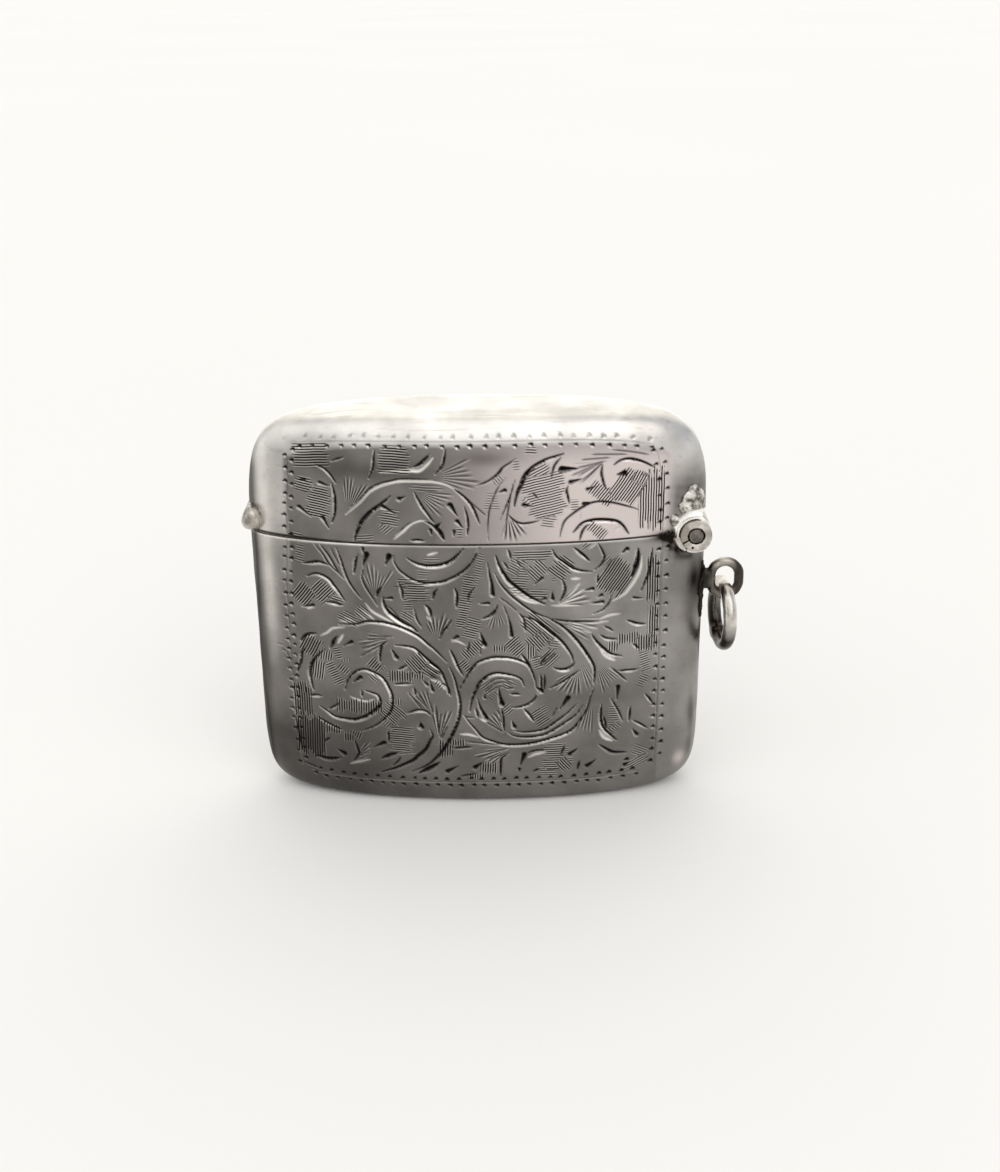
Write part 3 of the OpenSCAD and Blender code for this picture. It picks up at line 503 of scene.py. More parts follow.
        (-8.7, 10.3, 2.4, 1.9, -42, .55), (-9.2, 9.5, 2, 1.2, 45, .35), (-8, 8.3, 1.9, 1, -30, .5),
        (-7.9, 7.4, 2.6, 2.8, -3, .5), (-7.4, 6.3, 1.8, 1.2, 8, .4), (-8.2, 11.6, .9, .8, 90, .5),
        (-3.4, 6.4, 1.9, 1.3, 86, .85), (-2.3, 7.2, .9, 1.6, 90, .7), (-4, 6.8, .8, .5, 10, .4),
        (.9, 4.3, 1.4, 1.6, 88, .8), (-.4, 3.3, .8, 1.6, 90, .6), (2.8, 10.9, 1.4, .9, 40, .45),
        (6.1, 9.9, 1.6, 1.8, 35, .5), (6.4, 10.7, 1.2, .8, 30, .4), (13.5, 9, 1.2, 3.2, -3, .4),
        (13.6, 8.2, 1.2, 1.2, -45, .4), (7.6, 5.4, 2.4, 3, 0, .5), (8.5, 4.4, 1.8, 1.2, -52, .65),
        (8.6, 5.9, 1.2, 1.2, 0, .4), (6.9, 3.7, 1.8, 1, 0, .4), (9.1, 5, 1, .6, -5, .4),
        (15.9, 3.9, 3, .9, 25, .4), (16.2, 5.2, 1.6, 1.2, -30, .3),
    ],
}
# The graver leans away from the upper right, so the wall of each cut on that side is steep; that wall also
# gets painted shade and the other wall a painted highlight, as if lit from the upper right
graver = {
    "leanAndLight": (0.5, 0.866), "depth": 0.38, "ruleDepth": 0.22, "hatchPitch": 0.25,
    "hatchTone": 1.85, "fanTone": 1.2, "seed": 8,
    "wides": {"swell": 0.96, "wedge": 1.12, "glint": 0.8, "fine": 1.1, "dot": 1.0, "dent": 0.9, "rule": 1.0},
    "tones": {"swell": 1.0, "wedge": 1.0, "glint": 0.1, "fine": 0.8, "dot": 1.0, "dent": 0.45, "rule": 0.35},
    "paintedShines": {
        "swell": 0.95, "wedge": 0.85, "glint": 1.0, "fine": 0.5, "dot": 0.7, "dent": 0.4, "rule": 0.35},
}
# Border: a ruled line round the face with a row of small punched notches on each side of it, staggered
border = {
    "heights": (3.4, 37.6), "left": -18.85, "rightShare": 0.798, "top": (17.1, 38.5), "bottom": (17.2, 2.55),
    "rule": 0.17, "dotWidth": 0.42, "dotLength": 0.24, "dentsAbove": 37.8,
    # pitch of the notches and their distance from the line, at the left, right, top and bottom
    "rows": ((1.2, 0.34), (1.4, 0.42), (1.4, 0.36), (1.2, 0.34)),
}


def ramp(value, start, end):
    # 0 up to the start, 1 from the end on
    return np.clip((value - start) / (end - start), 0, 1)


def spot(a, b, placeA, placeB):
    # soft patch from its middle and half size both ways
    return np.exp(-((a - placeA[0]) / placeA[1]) ** 2 - ((b - placeB[0]) / placeB[1]) ** 2)


def smoothPath(flat, step=0.05):
    pts = np.array(flat, float).reshape(-1, 2)
    ends = np.vstack([2 * pts[0] - pts[1], pts, 2 * pts[-1] - pts[-2]])
    out = []
    for k in range(len(pts) - 1):
        a, b, c, d = ends[k:k + 4]
        count = max(2, int(np.linalg.norm(c - b) / step) + 1)
        t = np.linspace(0, 1, count, endpoint=False)[:, None]
        bend = (2 * a - 5 * b + 4 * c - d) * t ** 2 + (3 * b - a - 3 * c + d) * t ** 3
        out.append(0.5 * (2 * b + (c - a) * t + bend))
    out.append(pts[-1:])
    return np.vstack(out)


def caseShare(z, inset=0.0):
    up = np.clip((z - case["waist"]) / (case["crown"] - case["waist"] - inset), 0, 1)
    down = np.clip((case["waist"] - z) / (case["waist"] + case["footCut"] - inset), 0, 1)
    n, m = case["shoulderSquare"], case["footSquare"]
    return (1 - up ** n) ** (1 / n) * (1 - down ** m) ** (1 / m)


def borderStrokes():
    rng = np.random.default_rng(graver["seed"])
    z = np.linspace(*border["heights"], 300)
    x = np.linspace(-1, 1, 300)
    (topHalf, top), (lowHalf, low) = border["top"], border["bottom"]
    lines = (
        ((1, 0), border["left"] + ramp(z, 23, 37) + 0.5 * ramp(z, 8, 3), z),
        ((1, 0), border["rightShare"] * caseShare(z) * case["halfWidth"], z),
        ((0, 1), topHalf * x, top - np.where(x > 0, 1.05, 0.5) * np.abs(x) ** 4),
        ((0, 1), lowHalf * x - 0.3, low + 0.35 * np.abs(x) ** 5),
    )
    strokes = []
    for (across, lineX, lineZ), (pitch, stand) in zip(lines, border["rows"]):
        path = np.column_stack([lineX, lineZ])
        strokes.append(("rule", border["rule"], path[::6].ravel()))
        reach = np.concatenate([[0], np.cumsum(np.linalg.norm(np.diff(path, axis=0), axis=1))])
        for side in (-1, 1):
            s = 0.3 + (0.5 * pitch if side > 0 else 0)
            while s < reach[-1] - 0.2:
                at = np.array([np.interp(s, reach, lineX), np.interp(s, reach, lineZ)])
                at = at + side * stand * np.array(across) + rng.normal(0, 0.04, 2)
                half = np.array([border["dotLength"] / 2, side * across[1] * 0.05]) * rng.uniform(0.8, 1.15)
                kind = "dent" if side > 0 and at[1] > border["dentsAbove"] else "dot"
                width = border["dotWidth"] * rng.uniform(0.75, 1.1)
                strokes.append((kind, width, np.concatenate([at - half, at + half])))
                s += pitch * rng.uniform(0.85, 1.15)
    return strokes


def shade(x, z):
    # strength of the fine shading lines and the count of lines passed, at points of the face
    rng = np.random.default_rng(graver["seed"] + 1)
    tone, phase = np.zeros((2, len(x)))
    for midX, midZ, length, span, slant, strength in engraving["hatch"]:
        c, s = math.cos(math.radians(slant)), math.sin(math.radians(slant))
        near = np.where(np.hypot(x - midX, z - midZ) < 0.7 * math.hypot(length, span) + 0.5)[0]
        u = (x[near] - midX) * c + (z[near] - midZ) * s
        v = (z[near] - midZ) * c - (x[near] - midX) * s
        line = v / graver["hatchPitch"] + 0.05 * np.sin(3 * u + midX)
        half = 0.5 * length * rng.uniform(0.7, 1.15, 64)[np.rint(line).astype(int) % 64]
        mask = graver["hatchTone"] * strength * np.clip((half - np.abs(u)) / 0.25, 0, 1)
        mask = mask * np.clip((0.5 * span + 0.1 - np.abs(v)) / 0.12, 0, 1)
        own = mask >= tone[near]
        own &= (np.abs(u) < 0.6 * length + 0.3) & (np.abs(v) < 0.5 * span + 0.3)
        tone[near[own]] = mask[own]
        phase[near[own]] = line[own]
    for rootX, rootZ, first, last, start, end, rays, strength in engraving["fan"]:
        away = np.hypot(x - rootX, z - rootZ)
        near = np.where((away < end + 0.6) & (away > 0.5 * start))[0]
        bearing = np.degrees(np.arctan2(z[near] - rootZ, x[near] - rootX))
        offset = (bearing - (first + last) / 2 + 180) % 360 - 180
        line = offset / abs(last - first) * (rays - 1) + 0.25
        reach = end * rng.uniform(0.75, 1.1, 64)[np.rint(line).astype(int) % 64]
        inside = np.clip((rays / 2 - np.abs(line - 0.25)) / 0.3, 0, 1)
        inside = inside * np.clip((away[near] - start) / 0.3, 0, 1)
        mask = min(1, graver["fanTone"] * strength) * inside * np.clip((reach - away[near]) / 0.7, 0, 1)
        own = (mask >= tone[near]) & (np.abs(line) < rays / 2 + 0.6)
        tone[near[own]] = mask[own]
        phase[near[own]] = line[own]
    return tone, phase


def strokeWidths(kind, width, count):
    # the graver's width along a stroke, from its start to its end
    s = np.linspace(0, 1, count)
    if kind in ("fine", "rule"):
        share = np.clip(np.minimum(s, 1 - s) * 6 + 0.35, 0, 1)
    elif kind == "wedge":
        share = 0.18 + 0.82 * s
    elif kind in ("dot", "dent"):
        share = 0.3 + 0.7 * s
    else:
        share = 0.22 + 0.78 * np.sin(np.pi * np.clip(s, 0.02, 0.98)) ** 0.7
    return width * share * graver["wides"][kind]


def carve(x, z):
    # depth of the cuts in millimetres, their darkness with painted shade, and the painted highlight on their
    # other wall, at points of the face
    depth, tone, paintedShine = np.zeros((3, len(x)))
    leanAndLight = graver["leanAndLight"]
    cell = halves["columnMm"]
    order = np.argsort(z, kind="stable")
    zs = z[order]
    strokes = [(kind, s[0], s[1:]) for kind in ("swell", "wedge", "glint", "fine") for s in engraving[kind]]
    for kind, width, flat in strokes + borderStrokes():
        path = smoothPath(flat)
        widths = strokeWidths(kind, width, len(path))
        steep = graver["ruleDepth"] if kind == "rule" else graver["depth"]
        dark, highlightShare = graver["tones"][kind], graver["paintedShines"][kind]
        oneSidedShade = 0.45 if kind == "wedge" else 1.2
        for k in range(0, len(path), 40):
            part, partWidth = path[k:k + 41], widths[k:k + 41]
            room = 0.8 * partWidth.max()
            lo, hi = np.searchsorted(zs, [part[:, 1].min() - room, part[:, 1].max() + room])
            near = order[lo:hi]
            middle = (part[:, 0].min() + part[:, 0].max()) / 2
            near = near[np.abs(x[near] - middle) < np.ptp(part[:, 0]) / 2 + room]
            if len(near) == 0:
                continue
            dx = x[near, None] - part[None, :, 0]
            dz = z[near, None] - part[None, :, 1]
            square = dx * dx + dz * dz
            best = square.argmin(1)
            rows = np.arange(len(near))
            d = np.sqrt(square[rows, best])
            side = (dx[rows, best] * leanAndLight[0] + dz[rows, best] * leanAndLight[1]) / np.maximum(d, 1e-6)
            local = partWidth[best]
            half = local * (0.54 + 0.12 * side)
            share = np.minimum(1, 1.8 * d / half)
            # edges are softened over one cell of the mesh so that thin lines stay whole
            inside = np.clip((half + 0.5 * cell - d) / cell, 0, 1)
            beside = np.clip((half + cell - d) / cell, 0, 1)
            # low on the face, most of all at the left, tarnish fills the whole cut
            sunk = np.clip((9.5 - 2 * ramp(x[near], -4, 0) - z[near]) / 2.5, 0, 1)
            sunk = sunk * (kind in ("swell", "wedge", "dot"))
            bias = oneSidedShade * ramp(local, 0.2, 0.35) * (1 - 0.75 * sunk)
            cutDepth = steep * local * np.clip(1.1 - d / half, 0, 1)
            # painted shade on the wall away from the upper right, painted highlight on the wall towards it
            cutTone = dark * inside * np.clip(1.0 + bias * side * share, 0, 1)
            cutShine = highlightShare * (1 - 0.7 * sunk) * beside * np.clip(-1.4 * side * share, 0, 1)
            # a glint is a painted highlight along the whole cut
            if kind == "glint":
                cutShine = highlightShare * inside
            for total, new in ((depth, cutDepth), (tone, cutTone), (paintedShine, cutShine)):
                total[near] = np.maximum(total[near], new)
    return depth, tone, paintedShine


def level(z, inset=0.0):
    share = float(caseShare(np.array(z), inset))
    return ((case["halfWidth"] - inset) * share, (case["halfDepth"] - inset) * share, z)


def levelAtTurn(turn, inset=0.0):
    # level of the case's form by the turn of its outline, which spaces the rounded foot and shoulder evenly
    c, s = math.cos(math.radians(turn)), math.sin(math.radians(abs(turn)))
    n, reach = case["footSquare"], -(case["waist"] + case["footCut"] - inset)
    if turn > 0:
        n, reach = case["shoulderSquare"], case["crown"] - case["waist"] - inset
    share = c ** (2 / n)
    z = case["waist"] + reach * s ** (2 / n)
    return ((case["halfWidth"] - inset) * share, (case["halfDepth"] - inset) * share, z)


# Half shells of the case. Columns run round the half, rows follow its section from the outside over the rim
# inside. The lips give the height from the rim and the inset of each row
halves = {
    "panel": 19.5, "columnMm": 0.118, "bodyRowMm": 0.1185, "lidRowMm": 0.1, "endTurnStep": 3.5,
    "lidFineTop": 38.7, "innerEdge": 0.08, "crownRise": 0.012,
    "lip": ((0.22, 0.0), (0.14, 0.012), (0.08, 0.04), (0.035, 0.085), (0.008, 0.14), (0.0, 0.2)),
    "lidLip": ((0.12, 0.0), (0.07, 0.01), (0.03, 0.03), (0.008, 0.06), (0.0, 0.1)),
    "bodyInside": (26, 22, 17, 12, 7, 4), "bodyInsideTurns": (-36, -44, -52, -60, -68, -74),
    "lidInside": (37, 35, 32), "lidInsideTurns": (86, 84.5, 83, 81, 79, 76, 73, 70, 66, 62, 58, 54, 50, 47),
    "bodyNotchFade": 22, "lidNotchFade": 36, "engravedX": 20.5, "engravedTop": 39.6, "engravedFoot": 1.5,
    # the sheet is slightly uneven, more so at the soldered ends
    "uneven": 0.035, "unevenMiddle": 0.35, "waves": 7, "waveTurn": 0.75, "waveSeed": 3,
}


def columnAngles():
    w, d, panel = case["halfWidth"], case["halfDepth"], halves["panel"]
    panelTurn = math.degrees(math.atan2(panel / w ** 2, math.sqrt(1 - (panel / w) ** 2) / d))
    turns = np.arange(90, panelTurn + 1.0, -halves["endTurnStep"])
    ends = [math.atan2(d / w, math.tan(math.radians(t))) if t < 90 else 0.0 for t in turns]
    count = round(2 * panel / halves["columnMm"])
    middle = np.arccos(np.linspace(panel, -panel, count + 1) / w)
    notch = [math.acos((case["hingeX"] - case[k] + 0.001) / w) for k in ("bodyNotch", "lidNotch")]
    angles = np.concatenate([ends, notch, middle, np.pi - np.array(ends)])
    return np.unique(np.round(angles, 7))


def bodyRows():
    mouth, wall, edge = case["mouth"], case["wall"], halves["innerEdge"]
    foot = (case["waist"] / (case["waist"] + case["footCut"])) ** (case["footSquare"] / 2)
    outer = [levelAtTurn(t) for t in np.linspace(-math.degrees(math.asin(foot)), -38, 11)]
    top = mouth - halves["lip"][0][0]
    count = round((top - outer[-1][2]) / halves["bodyRowMm"])
    outer += [level(z) for z in np.linspace(outer[-1][2], top, count + 1)[1:]]
    for drop, inset in halves["lip"][1:]:
        rx, ry, z = level(mouth - drop)
        outer.append((rx - inset, ry - inset, z))
    inner = [level(mouth, wall - edge), level(mouth - edge, wall)]
    inner += [level(z, wall) for z in halves["bodyInside"]]
    inner += [levelAtTurn(t, wall) for t in halves["bodyInsideTurns"]] + [level(wall, wall)]
    # hole in the floor over the striker
    rx, ry = case["strikerHole"]
    for inset, z in ((0.05, wall), (0.0, wall - 0.05), (0.0, 0.06), (0.06, 0.0)):
        inner.append((rx + inset, ry + inset, z))
    return outer, inner


def lidRows():
    rim, wall, fineTop = case["mouth"] + case["seam"], case["wall"], halves["lidFineTop"]
    outer = []
    for lift, inset in reversed(halves["lidLip"]):
        rx, ry, z = level(rim + lift)
        outer.append((rx - inset, ry - inset, z))
    low = rim + halves["lidLip"][0][0]
    count = round((fineTop - low) / halves["lidRowMm"])
    outer += [level(z) for z in np.linspace(low, fineTop, count + 1)[1:]]
    shoulder = ((fineTop - case["waist"]) / (case["crown"] - case["waist"])) ** (case["shoulderSquare"] / 2)
    turns = np.linspace(math.degrees(math.asin(shoulder)), case["crownTurn"], 19)
    outer += [levelAtTurn(t) for t in turns[1:]]
    rx, ry, z = outer[-1]
    outer += [(rx, ry * k / 5, z + halves["crownRise"] * (1 - k / 5)) for k in (4, 3, 2, 1, 0)]
    rx, ry, z = levelAtTurn(case["crownTurn"], wall)
    inner = [(rx, ry * k / 2, z) for k in (0, 1)]
    inner += [levelAtTurn(t, wall) for t in halves["lidInsideTurns"]]
    edge = halves["innerEdge"]
    inner += [level(z, wall) for z in halves["lidInside"] + (rim + edge,)] + [level(rim, wall - edge)]
    return outer, inner


# A century of wear, and painted light and shade. Strengths are from 0 to 1; a spot is its middle and half
# size across, then in height
wearAndPaintedLight = {
    "fieldEdge": (19.15, 18.05), "fieldTop": (38.65, 37.9), "fieldSag": (1.1, 16.7), "fieldPaintedShine": 0.95,
    # thumb is the strength of the painted warm reflection on the lid's right part
    "thumb": 0.95, "lidCloud": 0.42,
    "lidClouds": (((-9, 6.5), (35.7, 1.0), 0.2), ((1.2, 2.6), (36.9, 0.7), 0.3)),
    "bodyLessTonedToRight": 0.25, "lowLeft": 0.48, "dent": 0.8, "dentSpot": ((20.5, 0.5), (3.4, 0.8)),
    "endReflectionBand": (20.7, 0.75, 0.6), "hingeEndDarkReflection": 0.85, "edgeDarkReflection": 0.8,
    "hollowShadow": 1.5, "hollowShadowSpot": ((18.7, 1.6), (28.3, 0.5)), "crookShadow": (2.3, 0.75),
    "run": 0.4, "runSpot": ((20.4, 1.4), (32.4, 1.7)), "footSpot": ((22.5, 1.5), (22.2, 2.8)), "blotch": 0.5,
    # painted shade under the lid's rim and a painted highlight on the body's lip: at the least, and how much
    # more to one side
    "rimPaintedShade": (0.4, 0.5), "lipPaintedHighlight": (0.3, 0.6),
}


def wornAndPaintedTones(x, y, z, side, skin, isLid, swell, tone, paintedShine):
    across, u, mouth = -side * x, np.abs(x), case["mouth"]
    least, more = wearAndPaintedLight["rimPaintedShade"] if isLid else wearAndPaintedLight["lipPaintedHighlight"]
    # painted shade along the lid's lower rim, painted highlight along the body's lip
    if isLid:
        rim = ramp(z - 0.2 * ramp(-across, 12, 17), mouth + 0.24, mouth + 0.14)
        tone = np.maximum(tone, rim * skin * (least + more * ramp(u, 9, 15)))
    else:
        lip = ramp(z, mouth - 0.24, mouth - 0.14)
        paintedShine = np.maximum(paintedShine, lip * (least + more * ramp(-across, 8, 12)))
    sag, sagHalf = wearAndPaintedLight["fieldSag"]
    # the engraved field is toned darker: part tarnish, part painted dark reflection
    field = ramp(u, *wearAndPaintedLight["fieldEdge"]) * ramp(z + sag * (u / sagHalf) ** 4, *wearAndPaintedLight["fieldTop"]) * skin
    warmReflectionAndDent = np.zeros(len(x))
    if isLid:
        # painted warm reflection: the lid's right part is lighter and warm, less so near its top
        warmReflectionAndDent = wearAndPaintedLight["thumb"] * ramp(across, -4, 9) * field * (1 - 0.5 * ramp(z, 36, 38))
        # and a dark cloud lies across its left part
        cloud = sum(spot(across, z + ragged * swell, a, b) for a, b, ragged in wearAndPaintedLight["lidClouds"])
        tone = np.maximum(tone, wearAndPaintedLight["lidCloud"] * np.clip(cloud, 0, 1) * (1 - paintedShine) * skin)
    else:
        # the body's field is less toned towards the right, most of all higher up
        field = field * (1 - wearAndPaintedLight["bodyLessTonedToRight"] * ramp(across, 0, 16) * np.maximum(ramp(z, 10, 18), 0.2))
        low = ramp(-across, 4, 12) * ramp(z, 13, 7) * ramp(y, 0, 2.2)
        tone = np.maximum(tone, wearAndPaintedLight["lowLeft"] * low * skin)
    # brown worn dent low at the right end
    warmReflectionAndDent = np.maximum(warmReflectionAndDent, wearAndPaintedLight["dent"] * spot(across, z, *wearAndPaintedLight["dentSpot"]) * skin)
    # the ends: painted dark reflection, darker lower down, with a painted bright reflection band down the
    # free end
    around = side * y
    streaks = 0.5 + 0.3 * np.sin(4.3 * around + 1.2 * np.sin(0.31 * z))
    streaks += 0.2 * np.sin(9 * around + 2 * np.sin(0.23 * z + 1))
    bandX, bandHalf, bandMost = wearAndPaintedLight["endReflectionBand"]
    band = bandMost * np.exp(-((u - bandX) / bandHalf) ** 2) * ramp(z, 12, 24)
    ends = np.maximum(ramp(z, 42, 22), 0.55) * (1 - band) * (x < 0)
    ends = ends + wearAndPaintedLight["hingeEndDarkReflection"] * (x > 0) * np.maximum(ramp(z, 39, 33), 0.3)
    field = np.maximum(field, ends * skin * ramp(z, 39, 37))
    # painted shadow in the hinge's hollow and under its barrel, painted dark reflection in streaks along the
    # free end's edge, solder flux run on the lid, a dark patch round the loop's foot and blotches on the
    # hinge end
    stainAndShade = wearAndPaintedLight["hollowShadow"] * spot(x, z, *wearAndPaintedLight["hollowShadowSpot"])
    stainAndShade += wearAndPaintedLight["edgeDarkReflection"] * (0.6 + 0.4 * streaks) * ramp(u, 21.1, 21.8) * (x < 0) * ramp(z, 38, 35)
    ragged = 1 + 0.5 * np.sin(5 * x + 3 * z) * np.sin(4 * z - 2 * x + 3 * y)
    if isLid:
        stainAndShade += wearAndPaintedLight["run"] * ragged * spot(x, z, *wearAndPaintedLight["runSpot"])
    else:
        hingeX, hingeZ = case["hingeX"], case["hingeZ"]
        reach, half = wearAndPaintedLight["crookShadow"]
        crookShadow = ragged * np.exp(-((np.hypot(x - hingeX, z - hingeZ) - reach) / half) ** 2)
        stainAndShade += crookShadow * ramp(x, hingeX + 0.3, hingeX - 0.7) * (z < hingeZ + 0.2)
        stainAndShade += spot(x, z, *wearAndPaintedLight["footSpot"]) * (1.1 + swell)
        blotch = np.clip(3 * swell - 0.3, 0, 1) * ramp(x, 20.3, 21.5) * ramp(z, 27, 23)
        stainAndShade += wearAndPaintedLight["blotch"] * blotch
    # painted highlights clear the toning so the bright bare metal shows
    field = field * (1 - wearAndPaintedLight["fieldPaintedShine"] * paintedShine)
    stainAndShade = np.clip(stainAndShade, 0, 1) * skin
    return {"cutTone": tone, "fieldToneAndPaintedReflection": field, "stainAndShadeTone": stainAndShade, "warmReflectionAndDentTone": warmReflectionAndDent}


def makeHalf(name, side, rows, isLid):
    outer, inner = rows
    section = np.array(outer + inner + outer[:1])
    angles = columnAngles()
    cols, count = len(angles), len(section)
    bm = bmesh.new()
    bmesh.ops.create_grid(bm, x_segments=cols - 1, y_segments=count - 1, size=1)
    mesh = bpy.data.meshes.new(name)
    bm.to_mesh(mesh)
    bm.free()
    grid = np.zeros(len(mesh.vertices) * 3)
    mesh.vertices.foreach_get("co", grid)
    col, row = (np.rint((grid[k::3] + 1) / 2 * (n - 1)).astype(int) for k, n in ((0, cols), (1, count)))
    rx, ry, z = section[row].T
    x = rx * np.cos(angles[col])
    y = ry * np.sin(angles[col])
    # notch for the hinge barrel
    mouth, hingeX = case["mouth"], case["hingeX"]
    reach, fade = case["bodyNotch"], halves["bodyNotchFade"]
    if isLid:
        reach, fade = case["lidNotch"], halves["lidNotchFade"]
    drop = np.sqrt(np.clip(reach ** 2 - (x - hingeX) ** 2, 0, None)) * (x > hingeX - reach)
    lift = np.maximum(drop - case["seam"], 0) if isLid else -drop
    z = z + lift * ramp(z, fade, mouth)
    # engraving on the outside
    skin = row < len(outer)
    depth, tone, paintedShine, lineTone, linePhase = np.zeros((5, len(x)))
    low, high = (mouth + 0.2, halves["engravedTop"]) if isLid else (halves["engravedFoot"], mouth - 0.1)
    face = np.where(skin & (z > low) & (z < high) & (np.abs(x) < halves["engravedX"]))[0]
    depth[face], tone[face], paintedShine[face] = carve(-side * x[face], z[face])
    lineTone[face], linePhase[face] = shade(-side * x[face], z[face])
    rng = np.random.default_rng(halves["waveSeed"])
    swell = np.zeros(len(x))
    for k in range(halves["waves"]):
        wave = rng.normal(0, 1, 3) @ np.array([x, 2 * y * side, z])
        swell += np.sin(wave * halves["waveTurn"] + rng.uniform(0, 6.3)) / halves["waves"]
    calm = halves["unevenMiddle"]
    atEnds = calm + (1 - calm) * ramp(np.abs(x), 17, 20)
    depth = depth + skin * halves["uneven"] * atEnds * (1 + swell) * ramp(z, 0.3, 2.3)
    nx, ny = x / rx ** 2, y / np.maximum(ry, 0.01) ** 2
    length = np.hypot(nx, ny) + 1e-9
    x = x - depth * nx / length
    y = y - depth * ny / length
    place = np.column_stack([x, side * y, z]) * mm
    mesh.vertices.foreach_set("co", place.ravel())
    tones = wornAndPaintedTones(x, y, z, side, skin, isLid, swell, tone, paintedShine)
    tones.update(lineTone=lineTone, linePhase=linePhase)
    for label, values in tones.items():
        mesh.attributes.new(label, "FLOAT", "POINT").data.foreach_set("value", values.astype(np.float32))
    bm = bmesh.new()
    bm.from_mesh(mesh)
    bm.verts.ensure_lookup_table()
    for f in bm.faces:
        f.smooth = True
        f.material_index = 1 if min(row[v.index] for v in f.verts) >= len(outer) - 1 else 0
    bmesh.ops.remove_doubles(bm, verts=bm.verts, dist=2e-7)
    caps = bmesh.ops.holes_fill(bm, edges=[e for e in bm.edges if e.is_boundary], sides=0)["faces"]
    for f in caps:
        f.smooth = False
        f.material_index = 1
        for e in f.edges:
            e.smooth = False
    bmesh.ops.triangulate(bm, faces=caps)
    # the two halves meet edge to edge along the crown, so the shading breaks there
    for e in bm.edges:
        if all(abs(v.co.y) < 1e-7 for v in e.verts):
            e.smooth = False
    bmesh.ops.recalc_face_normals(bm, faces=bm.faces)
    bm.to_mesh(mesh)
    bm.free()
    print(name, "cells", cols, "by", count, "triangles", sum(len(p.vertices) - 2 for p in mesh.polygons))
    return mesh


for side, word in ((-1, "Front"), (1, "Back")):
    for body, part, rows in (("case", "body", bodyRows()), ("lid", "lid", lidRows())):
        mesh = makeHalf(part + word, side, rows, body == "lid")
        node = part + "_" + word.lower()
        addPiece(mesh, body, "silver", node, "engravedSterlingSilver", "dullSilverLining")
print("engraved halves made")


def finishMesh(bm, name, sharpAt=42):
    bmesh.ops.remove_doubles(bm, verts=bm.verts, dist=2e-6)
    bmesh.ops.holes_fill(bm, edges=[e for e in bm.edges if e.is_boundary], sides=0)
    bmesh.ops.recalc_face_normals(bm, faces=bm.faces)
    for f in bm.faces:
        f.smooth = True
    for e in bm.edges:
        e.smooth = e.calc_face_angle(0) < math.radians(sharpAt)
    mesh = bpy.data.meshes.new(name)
    bm.to_mesh(mesh)
    bm.free()
    return mesh


def roughen(bm, amount, grainMm, verts=None):
    # hand filed and worn: small uneven swellings along the normals
    bm.normal_update()
    for v in verts or bm.verts:
        v.co += v.normal * amount * mm * noise.noise(v.co / (grainMm * mm))


def spun(bm, section, start, sweep, steps):
    # section of radii and depths, turned about the hinge's axis from an angle measured from +X towards +Z
    centre = Vector((case["hingeX"], 0, case["hingeZ"])) * mm
    c, s = math.cos(math.radians(start)), math.sin(math.radians(start))
    verts = [bm.verts.new(centre + Vector((r * c, y, r * s)) * mm) for r, y in section]
    closed = sweep < 360 or section[0][0] > 0
    count = len(verts) if closed else len(verts) - 1
    edges = [bm.edges.new((verts[k], verts[(k + 1) % len(verts)])) for k in range(count)]
    bmesh.ops.spin(bm, geom=edges, cent=centre, axis=(0, -1, 0), angle=math.radians(sweep), steps=steps,
                   use_merge=sweep >= 360)


def roundedBox(r0, r1, y0, y1, edge):
    out = []
    for r, y, turn in ((r0, y0, 180), (r1, y0, 270), (r1, y1, 0), (r0, y1, 90)):
        r += edge if r == r0 else -edge
        y += edge if y == y0 else -edge
        for t in (0, 30, 60, 90):
            a = math.radians(turn + t)
            out.append((r + edge * math.cos(a), y + edge * math.sin(a)))
    return out


# Barrel hinge: the body's two knuckles are rolled from sheet, so each has a slit; the pin is filed flush
hinge = {
    "outer": 1.55, "bore": 0.82, "pin": 0.72, "pinEnd": 3.96, "front": 4.0, "inner": 1.63, "edge": 0.12,
    "slit": 9, "slitAt": 209, "hoodStart": 76, "hoodSweep": 110, "hoodTop": 2.46, "hoodUnder": 1.9,
    "hoodSharpAt": 60,
    # the hood thins towards its lower edge: by how much, and between which turns
    "hoodThin": (0.7, 158, 186),
    # radius and depth along the hood's front end
    "hoodEnd": (
        (1.64, -3.66), (1.68, -3.72), (1.82, -3.72), (1.86, -3.66), (1.88, -3.54), (1.93, -3.54),
        (1.98, -3.66), (2.06, -3.61), (2.2, -3.47), (2.35, -3.3), (2.43, -3.12), (2.46, -2.9)),
    # solder lumps on the wall: x, height, how proud, wide and tall
    "solder": (
        (20.45, 30.75, 0.5, 1.0, 0.45), (19.15, 29.75, 0.5, 0.48, 0.7), (20.75, 31.5, 0.36, 1.05, 1.15),
        (21.55, 31.3, 0.34, 0.75, 1.2), (20.1, 31.1, 0.26, 0.7, 0.55), (20.95, 32.4, 0.2, 0.7, 0.7)),
    # and their size and lift at the front and at the back
    "lumpSides": {-1: (1.0, 0.0), 1: (0.8, 0.4)},
}


def addLumps(bm, spots):
    # solder that ran and set on the end wall, on both sides
    for side, (size, lift) in hinge["lumpSides"].items():
        for x, z, proud, wide, tall in spots:
            rx, ry, z = level(z + lift)
            y = side * ry * math.sqrt(1 - (x / rx) ** 2)
            up = Vector((0, 0, 1))
            out = Vector((x / rx ** 2, y / ry ** 2, 0)).normalized()
            lump = bmesh.ops.create_icosphere(bm, subdivisions=4, radius=mm)["verts"]
            turn = size * Matrix((out * proud, out.cross(up) * wide, up * tall)).transposed()
            place = Matrix.Translation(Vector((x, y, z)) * mm) @ turn.to_4x4()
            bmesh.ops.transform(bm, matrix=place, verts=lump)
            roughen(bm, 0.14, 0.5, lump)
            roughen(bm, 0.07, 0.2, lump)
            for f in {f for v in lump for f in v.link_faces}:
                f.material_index = 1


